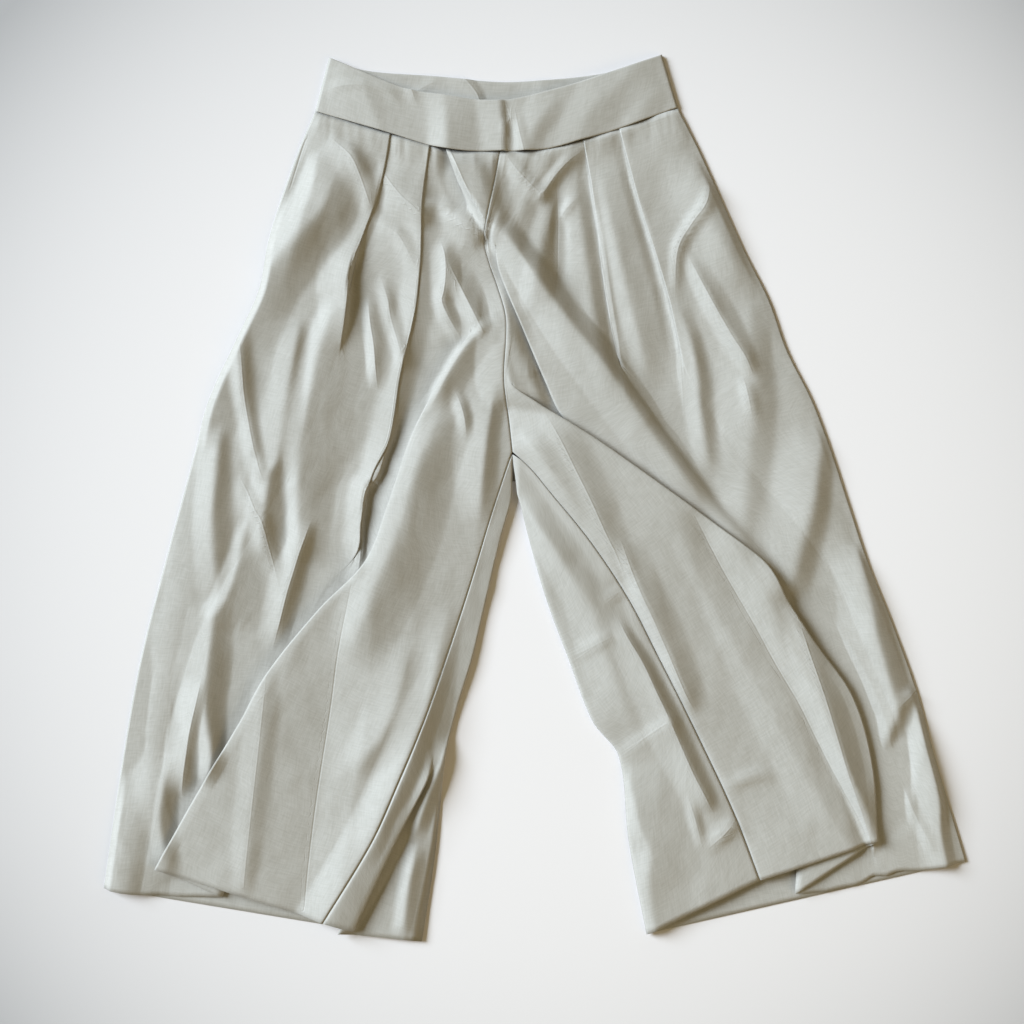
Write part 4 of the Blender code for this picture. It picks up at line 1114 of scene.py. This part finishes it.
def shell(name, grid, thickness, material, edges, pressed):
    """Makes one closed shell of cloth on a grid of points in millimetres, with rounded rims.

    edges is how far each point is from the cloth's nearest sewn edge, and pressed is its place beside the
    nearest pressed line and that line's strength.
    """
    centre = np.stack([grid[..., 0] * GRADE, -grid[..., 1] * GRADE, grid[..., 2]], axis=-1)
    down, across = np.gradient(centre, axis=0), np.gradient(centre, axis=1)
    normal = np.cross(down, across)
    size = np.linalg.norm(normal, axis=2, keepdims=True)
    normal = np.where(size > 1e-6, normal / np.maximum(size, 1e-6), [[[0.0, 0.0, 1.0]]])
    for side in (0, -1):
        upright = np.sign(normal[:, side, 2])
        normal[:, side] = np.stack([0 * upright, 0 * upright, np.where(upright == 0, 1, upright)], axis=-1)
    half = np.full(grid.shape[:2], thickness / 2)
    for rim in (half[0], half[-1], half[:, 0], half[:, -1]):
        rim *= RIM_SHARE
    offset = normal * half[..., None]
    rows, width = grid.shape[:2]
    under = rows * width
    points = np.concatenate([(centre + offset).reshape(-1, 3), (centre - offset).reshape(-1, 3)]) * MM
    points[:, :2] += HOME
    index = np.arange(under).reshape(rows, width)
    a, b, c, d = index[:-1, :-1], index[:-1, 1:], index[1:, 1:], index[1:, :-1]
    upper = np.stack([a, d, c, b], axis=-1).reshape(-1, 4)
    lower = np.stack([a, b, c, d], axis=-1).reshape(-1, 4) + under
    rim = np.concatenate([index[0], index[1:, -1], index[-1, -2::-1], index[-2:0:-1, 0]])
    ahead = np.roll(rim, -1)
    sides = np.stack([rim, ahead, ahead + under, rim + under], axis=-1)
    faces = np.concatenate([upper, lower, sides])
    mesh = bpy.data.meshes.new(name)
    mesh.from_pydata(points.tolist(), [], faces.tolist())
    mesh.validate()
    along_row = np.linalg.norm(np.diff(centre, axis=1), axis=2)
    along_column = np.linalg.norm(np.diff(centre, axis=0), axis=2)
    u = np.concatenate([np.zeros((rows, 1)), np.cumsum(along_row, axis=1)], axis=1)
    v = np.concatenate([np.zeros((1, width)), np.cumsum(along_column, axis=0)], axis=0)
    flat = np.tile(np.stack([u, v], axis=-1).reshape(-1, 2) * MM, (2, 1))
    corner = np.empty(len(mesh.loops), dtype=np.int32)
    mesh.loops.foreach_get("vertex_index", corner)
    off, power = pressed
    for map_name, pairs in (
        (GRAIN_MAP, flat),
        (EDGE_MAP, np.stack([np.tile(edges.ravel(), 2) * MM, flat[:, 1]], axis=-1)),
        (PRESSED_MAP, np.stack([np.tile(off.ravel(), 2) * MM, np.tile(power.ravel(), 2)], axis=-1)),
    ):
        layer = mesh.uv_layers.new(name=map_name)
        layer.data.foreach_set("uv", pairs[corner].ravel().astype(np.float32))
    mesh.shade_smooth()
    mesh.materials.append(material)
    piece = bpy.data.objects.new(name, mesh)
    bpy.context.scene.collection.objects.link(piece)
    return piece


class Socket:
    """A value in a finish: sums on it add Math nodes."""

    def __init__(self, finish, socket):
        self.finish, self.socket = finish, socket

    def sum(self, operation, a, b=None):
        inputs = {0: a} if b is None else {0: a, 1: b}
        return self.finish.node("ShaderNodeMath", {"operation": operation}, inputs)

    def __add__(self, other):
        return self.sum("ADD", self, other)

    __radd__ = __add__

    def __mul__(self, other):
        return self.sum("MULTIPLY", self, other)

    __rmul__ = __mul__

    def __sub__(self, other):
        return self.sum("SUBTRACT", self, other)

    def __rsub__(self, other):
        return self.sum("SUBTRACT", other, self)

    def __truediv__(self, other):
        return self.sum("DIVIDE", self, other)

    def sine(self):
        return self.sum("SINE", self)

    def size(self):
        return self.sum("ABSOLUTE", self)

    def clamp(self):
        return self.sum("MINIMUM", self.sum("MAXIMUM", self, 0.0), 1.0)


class Finish:
    """A material, made node by node."""

    def __init__(self, name):
        self.material = bpy.data.materials.new(name)
        self.material.use_nodes = True
        self.tree = self.material.node_tree
        self.tree.nodes.clear()

    def node(self, kind, settings=(), inputs=(), output=0):
        node = self.tree.nodes.new(kind)
        for key, value in dict(settings).items():
            setattr(node, key, value)
        for key, value in dict(inputs).items():
            if isinstance(value, Socket):
                self.tree.links.new(value.socket, node.inputs[key])
            else:
                node.inputs[key].default_value = value
        return Socket(self, node.outputs[output]) if len(node.outputs) > output else None

    def read_map(self, name):
        """A UV map, and its two values."""
        whole = self.node("ShaderNodeUVMap", {"uv_map": name})
        first = self.node("ShaderNodeSeparateXYZ", (), {0: whole})
        return whole, first, Socket(self, first.socket.node.outputs[1])

    def noise(self, place, scale, detail=2.0, stretch=(1.0, 1.0, 1.0)):
        laid = self.node("ShaderNodeVectorMath", {"operation": "MULTIPLY"}, {0: place, 1: stretch})
        return self.node("ShaderNodeTexNoise", (), {"Vector": laid, "Scale": scale, "Detail": detail})


def woven_cotton(name):
    """Crisp greige cotton: a plain weave with slubs, a soft sheen, and a pressed seam beside each edge."""
    finish = Finish(name)
    grain, u, v = finish.read_map(GRAIN_MAP)
    edge = finish.read_map(EDGE_MAP)[1]
    off, power = finish.read_map(PRESSED_MAP)[1:]
    wander = finish.noise(grain, 60.0, 1.0) * THREAD_WANDER
    weft = ((v + wander) * (2 * math.pi / THREAD)).sine()
    warp = ((u + wander) * (2 * math.pi / THREAD)).sine()
    slub_across = finish.noise(grain, 1.0, 3.0, (SLUB_LONG, SLUB_SHORT, 1.0))
    slub_down = finish.noise(grain, 1.0, 3.0, (SLUB_SHORT, SLUB_LONG, 1.0))
    cloud = finish.noise(grain, 14.0, 3.0)
    slubs = slub_across + slub_down - 1.0
    mottle = (slubs * 1.5 + (cloud - 0.5) * 0.8 + 0.5).clamp()
    laid = finish.node("ShaderNodeVectorMath", {"operation": "MULTIPLY"}, {0: grain, 1: WRINKLE_STRETCH})
    wrinkle = finish.node("ShaderNodeTexNoise", {"noise_type": "RIDGED_MULTIFRACTAL"}, {
        "Vector": laid, "Scale": WRINKLES, "Detail": 3.0, "Roughness": 0.45, "Distortion": 0.6,
    })
    colour = finish.node(
        "ShaderNodeMix", {"data_type": "RGBA"}, {0: mottle, 6: COTTON_DEEP, 7: COTTON_PALE}, output=2,
    )
    rough = COTTON_ROUGH + (cloud - 0.5) * 0.2 + slubs * 0.1
    groove = (1.0 - edge * (1.0 / GROOVE_WIDTH)).clamp()
    line = (1.0 - off.size() * (1.0 / PRESSED_WIDTH)).clamp() * power
    threads = weft * warp * THREAD_HEIGHT + slubs * SLUB_HEIGHT
    height = threads + wrinkle * WRINKLE_HEIGHT - groove * GROOVE_HEIGHT + line * PRESSED_HEIGHT
    bump = finish.node("ShaderNodeBump", (), {"Strength": BUMP_STRENGTH, "Distance": 1.0, "Height": height})
    cloth = finish.node("ShaderNodeBsdfPrincipled", (), {
        "Base Color": colour, "Roughness": rough, "Normal": bump,
        "Sheen Weight": SHEEN, "Sheen Roughness": 0.45, "Sheen Tint": SHEEN_TINT,
        "Specular IOR Level": 0.35,
    })
    finish.node("ShaderNodeOutputMaterial", (), {"Surface": cloth})
    return finish.material


def paper_with_painted_pool():
    """Fine matt paper with a painted pool of light: palest in an oval, and softly darker round it with
    painted shade.
    """
    finish = Finish("paper_with_painted_pool")
    place = finish.node("ShaderNodeTexCoord", (), (), output=3)
    grain = finish.noise(place, 220.0, 3.0)
    bump = finish.node("ShaderNodeBump", (), {"Strength": 0.1, "Distance": 0.0002, "Height": grain})
    split = finish.node("ShaderNodeSeparateXYZ", (), {0: place})
    x, y = (Socket(finish, split.socket.node.outputs[axis]) for axis in (0, 1))
    x, y = (x - PAINTED_POOL_MIDDLE[0]) / PAINTED_POOL_REACH[0], (y - PAINTED_POOL_MIDDLE[1]) / PAINTED_POOL_REACH[1]
    # Painted shade: outside the oval the paper's colour darkens towards its painted shade colour, like light
    # falling off
    out = (x * x + y * y).clamp()
    colour = finish.node(
        "ShaderNodeMix", {"data_type": "RGBA"}, {0: out * out, 6: PAPER, 7: PAPER_PAINTED_SHADE}, output=2,
    )
    paper = finish.node("ShaderNodeBsdfPrincipled", (), {
        "Base Color": colour, "Roughness": 0.9, "Normal": bump, "Specular IOR Level": 0.1,
    })
    finish.node("ShaderNodeOutputMaterial", (), {"Surface": paper})
    return finish.material


def add_camera():
    """The camera, straight above the lay."""
    lens = bpy.data.cameras.new("overhead")
    lens.lens = LENS
    lens.sensor_width = 36.0
    lens.clip_end = 20.0
    camera = bpy.data.objects.new("overhead", lens)
    camera.location = (*VIEW_CENTRE, CAMERA_HEIGHT)
    bpy.context.scene.collection.objects.link(camera)
    bpy.context.scene.camera = camera


def add_lights():
    """A wide soft light from the upper left, and a warm bounce from the right."""
    for name, place, size, power, colour in (
        ("window", KEY_PLACE, KEY_SIZE, KEY_POWER, KEY_COLOUR),
        ("bounce", FILL_PLACE, FILL_SIZE, FILL_POWER, FILL_COLOUR),
    ):
        lamp = bpy.data.lights.new(name, "AREA")
        lamp.shape = "RECTANGLE"
        lamp.size, lamp.size_y = size
        lamp.energy = power
        lamp.color = colour
        light = bpy.data.objects.new(name, lamp)
        light.location = place
        light.rotation_euler = Vector(place).to_track_quat("Z", "Y").to_euler()
        bpy.context.scene.collection.objects.link(light)


def add_world():
    """Faint warm light from all round."""
    world = bpy.data.worlds.new("studio")
    world.use_nodes = True
    sky = world.node_tree.nodes["Background"]
    sky.inputs["Color"].default_value = WORLD_COLOUR
    sky.inputs["Strength"].default_value = WORLD_STRENGTH
    bpy.context.scene.world = world
    bpy.context.scene.view_settings.view_transform = "Standard"


def add_floor():
    """The pale paper that the garment lies on."""
    mesh = bpy.data.meshes.new("floor")
    corners = [(x * FLOOR_REACH, y * FLOOR_REACH, 0.0) for x, y in ((-1, -1), (1, -1), (1, 1), (-1, 1))]
    mesh.from_pydata(corners, [], [(0, 1, 2, 3)])
    mesh.materials.append(paper_with_painted_pool())
    floor = bpy.data.objects.new("floor", mesh)
    bpy.context.scene.collection.objects.link(floor)


def steps_from(lengths, axis):
    """How far each row or column is from the first one, for the lengths between them."""
    start = np.zeros_like(np.take(lengths, [0], axis=axis))
    return np.concatenate([start, np.cumsum(lengths, axis=axis)], axis=axis)


def edge_distance(grid, sides):
    """How far each point is from the chosen edges of its panel, in millimetres."""
    across = np.linalg.norm(np.diff(grid, axis=1), axis=2)
    down = np.linalg.norm(np.diff(grid, axis=0), axis=2)
    found = {
        "first": steps_from(across, 1),
        "last": steps_from(across[:, ::-1], 1)[:, ::-1],
        "top": steps_from(down, 0),
    }
    return np.minimum.reduce([found[side] for side in sides])


def make_panel(name, grid, pressed):
    """Dips a lifted panel beside its seams and makes its cloth."""
    edges = edge_distance(grid, ("first", "last", "top"))
    grid[..., 2] -= SEAM_DIP * (1 - smooth(0, SEAM_DIP_WIDTH, edges)) * (grid[..., 2] > BASE_Z)
    piece = shell(name + "_panel", grid, CLOTH, woven_cotton(name + "_cotton"), edges, pressed)
    dress(piece, name)


def make_front(side, section, outer_edge):
    shares = row_shares(FRONT_LENGTH, 0.0, CROTCH_SHARE, 1.0)
    grid = meet_band(laid_grid(section, shares, FRONT_BAND_SEAM, FRONT_SEWN))
    grid, pressed = lift(grid, smooth(0, SIDE_FADE, edge_distance(grid, (outer_edge,))))
    make_panel("front_" + side, grid, pressed)


def make_back(side, section):
    """A back panel, whose rows between the notch and the start of the inseam run straight."""
    shares = row_shares(BACK_LENGTH, 0.0, BACK_SEWN, NOTCH_SHARE, INSEAM_SHARE, 1.0)
    grid = laid_grid(section, shares, BACK_BAND_SEAM, BACK_SEWN, coarse=len(BACK_STEPS))
    notch, inseam = np.searchsorted(shares, (NOTCH_SHARE, INSEAM_SHARE))
    for row in range(notch + 1, inseam):
        t = (shares[row] - NOTCH_SHARE) / (INSEAM_SHARE - NOTCH_SHARE)
        grid[row] = mix(grid[notch], grid[inseam], t)
    grid, pressed = lift(grid, 1.0, over_only=True)
    make_panel("back_" + side, grid, pressed)


def make_band(name, top_table, seam_table, height, creases):
    """Half of the waistband, from its top to the waist seam."""
    columns = np.linspace(0, 1, BAND_COLUMNS)
    top = mix(top_table[0][0], top_table[-1][0], columns)
    seam = mix(seam_table[0][0], seam_table[-1][0], columns)
    rows = []
    for t in BAND_STEPS:
        down = mix(along(top_table, top)[0], along(seam_table, seam)[0] - PLAN_GAP / 2, t)
        rows.append(point(mix(top, seam, t), down, height(columns)))
    grid = np.stack(rows)
    across, down = grid[..., 0], grid[..., 1]
    raised, *pressed = crease_field(creases, across, down)
    raised += BAND_CRUMPLE * crumple(across, down)
    ends = smooth(0, BAND_END_FADE, edge_distance(grid, ("first", "last")))
    grid[..., 2] += np.maximum(raised * ends, BAND_LOWEST)
    edges = edge_distance(grid, ("first", "last"))
    piece = shell(name + "_cloth_band", grid, BAND, woven_cotton(name + "_cotton"), edges, pressed)
    dress(piece, name)


def dress(piece, node):
    """Hangs a piece under the frame's root and hides the solid that it stands for."""
    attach(piece, "root")
    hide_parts(node)


def front_band_height(share):
    """The front band's middle layer, which arches over the open waist."""
    return BAND_SOLID * 1.5 + SEAM_GAP + FRONT_BAND_CROWN * np.sin(np.pi * np.clip(share, 0, 1)) ** 0.8


def back_band_height(share):
    return np.full_like(share, BAND_SOLID / 2 + BACK_BAND_LIFT)


# The home of the lay's tables in the frame: the back waistband's outer end stands on the solid's own
HOME = np.array([
    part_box("waistband_back")[0][0] - BACK_BAND_SEAM[0][0] * GRADE * MM,
    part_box("waistband_back")[1][1] + BACK_BAND_TOP[-1][1] * GRADE * MM,
])

add_camera()
add_world()
add_lights()
add_floor()

make_front("left", front_left_section, "first")
make_front("right", front_right_section, "last")
make_back("left", lambda s: back_section(s, SIDE_LEFT, INNER_LEFT, INSEAM_LEFT, 1, True))
make_back(
    "right", lambda s: back_section(s, SIDE_RIGHT, INNER_RIGHT, INSEAM_RIGHT, -1, False),
)
make_band(
    "waistband_front", FRONT_BAND_TOP, FRONT_BAND_SEAM, front_band_height, BAND_CREASES,
)
make_band("waistband_back", BACK_BAND_TOP, BACK_BAND_SEAM, back_band_height, INSIDE_CREASES)
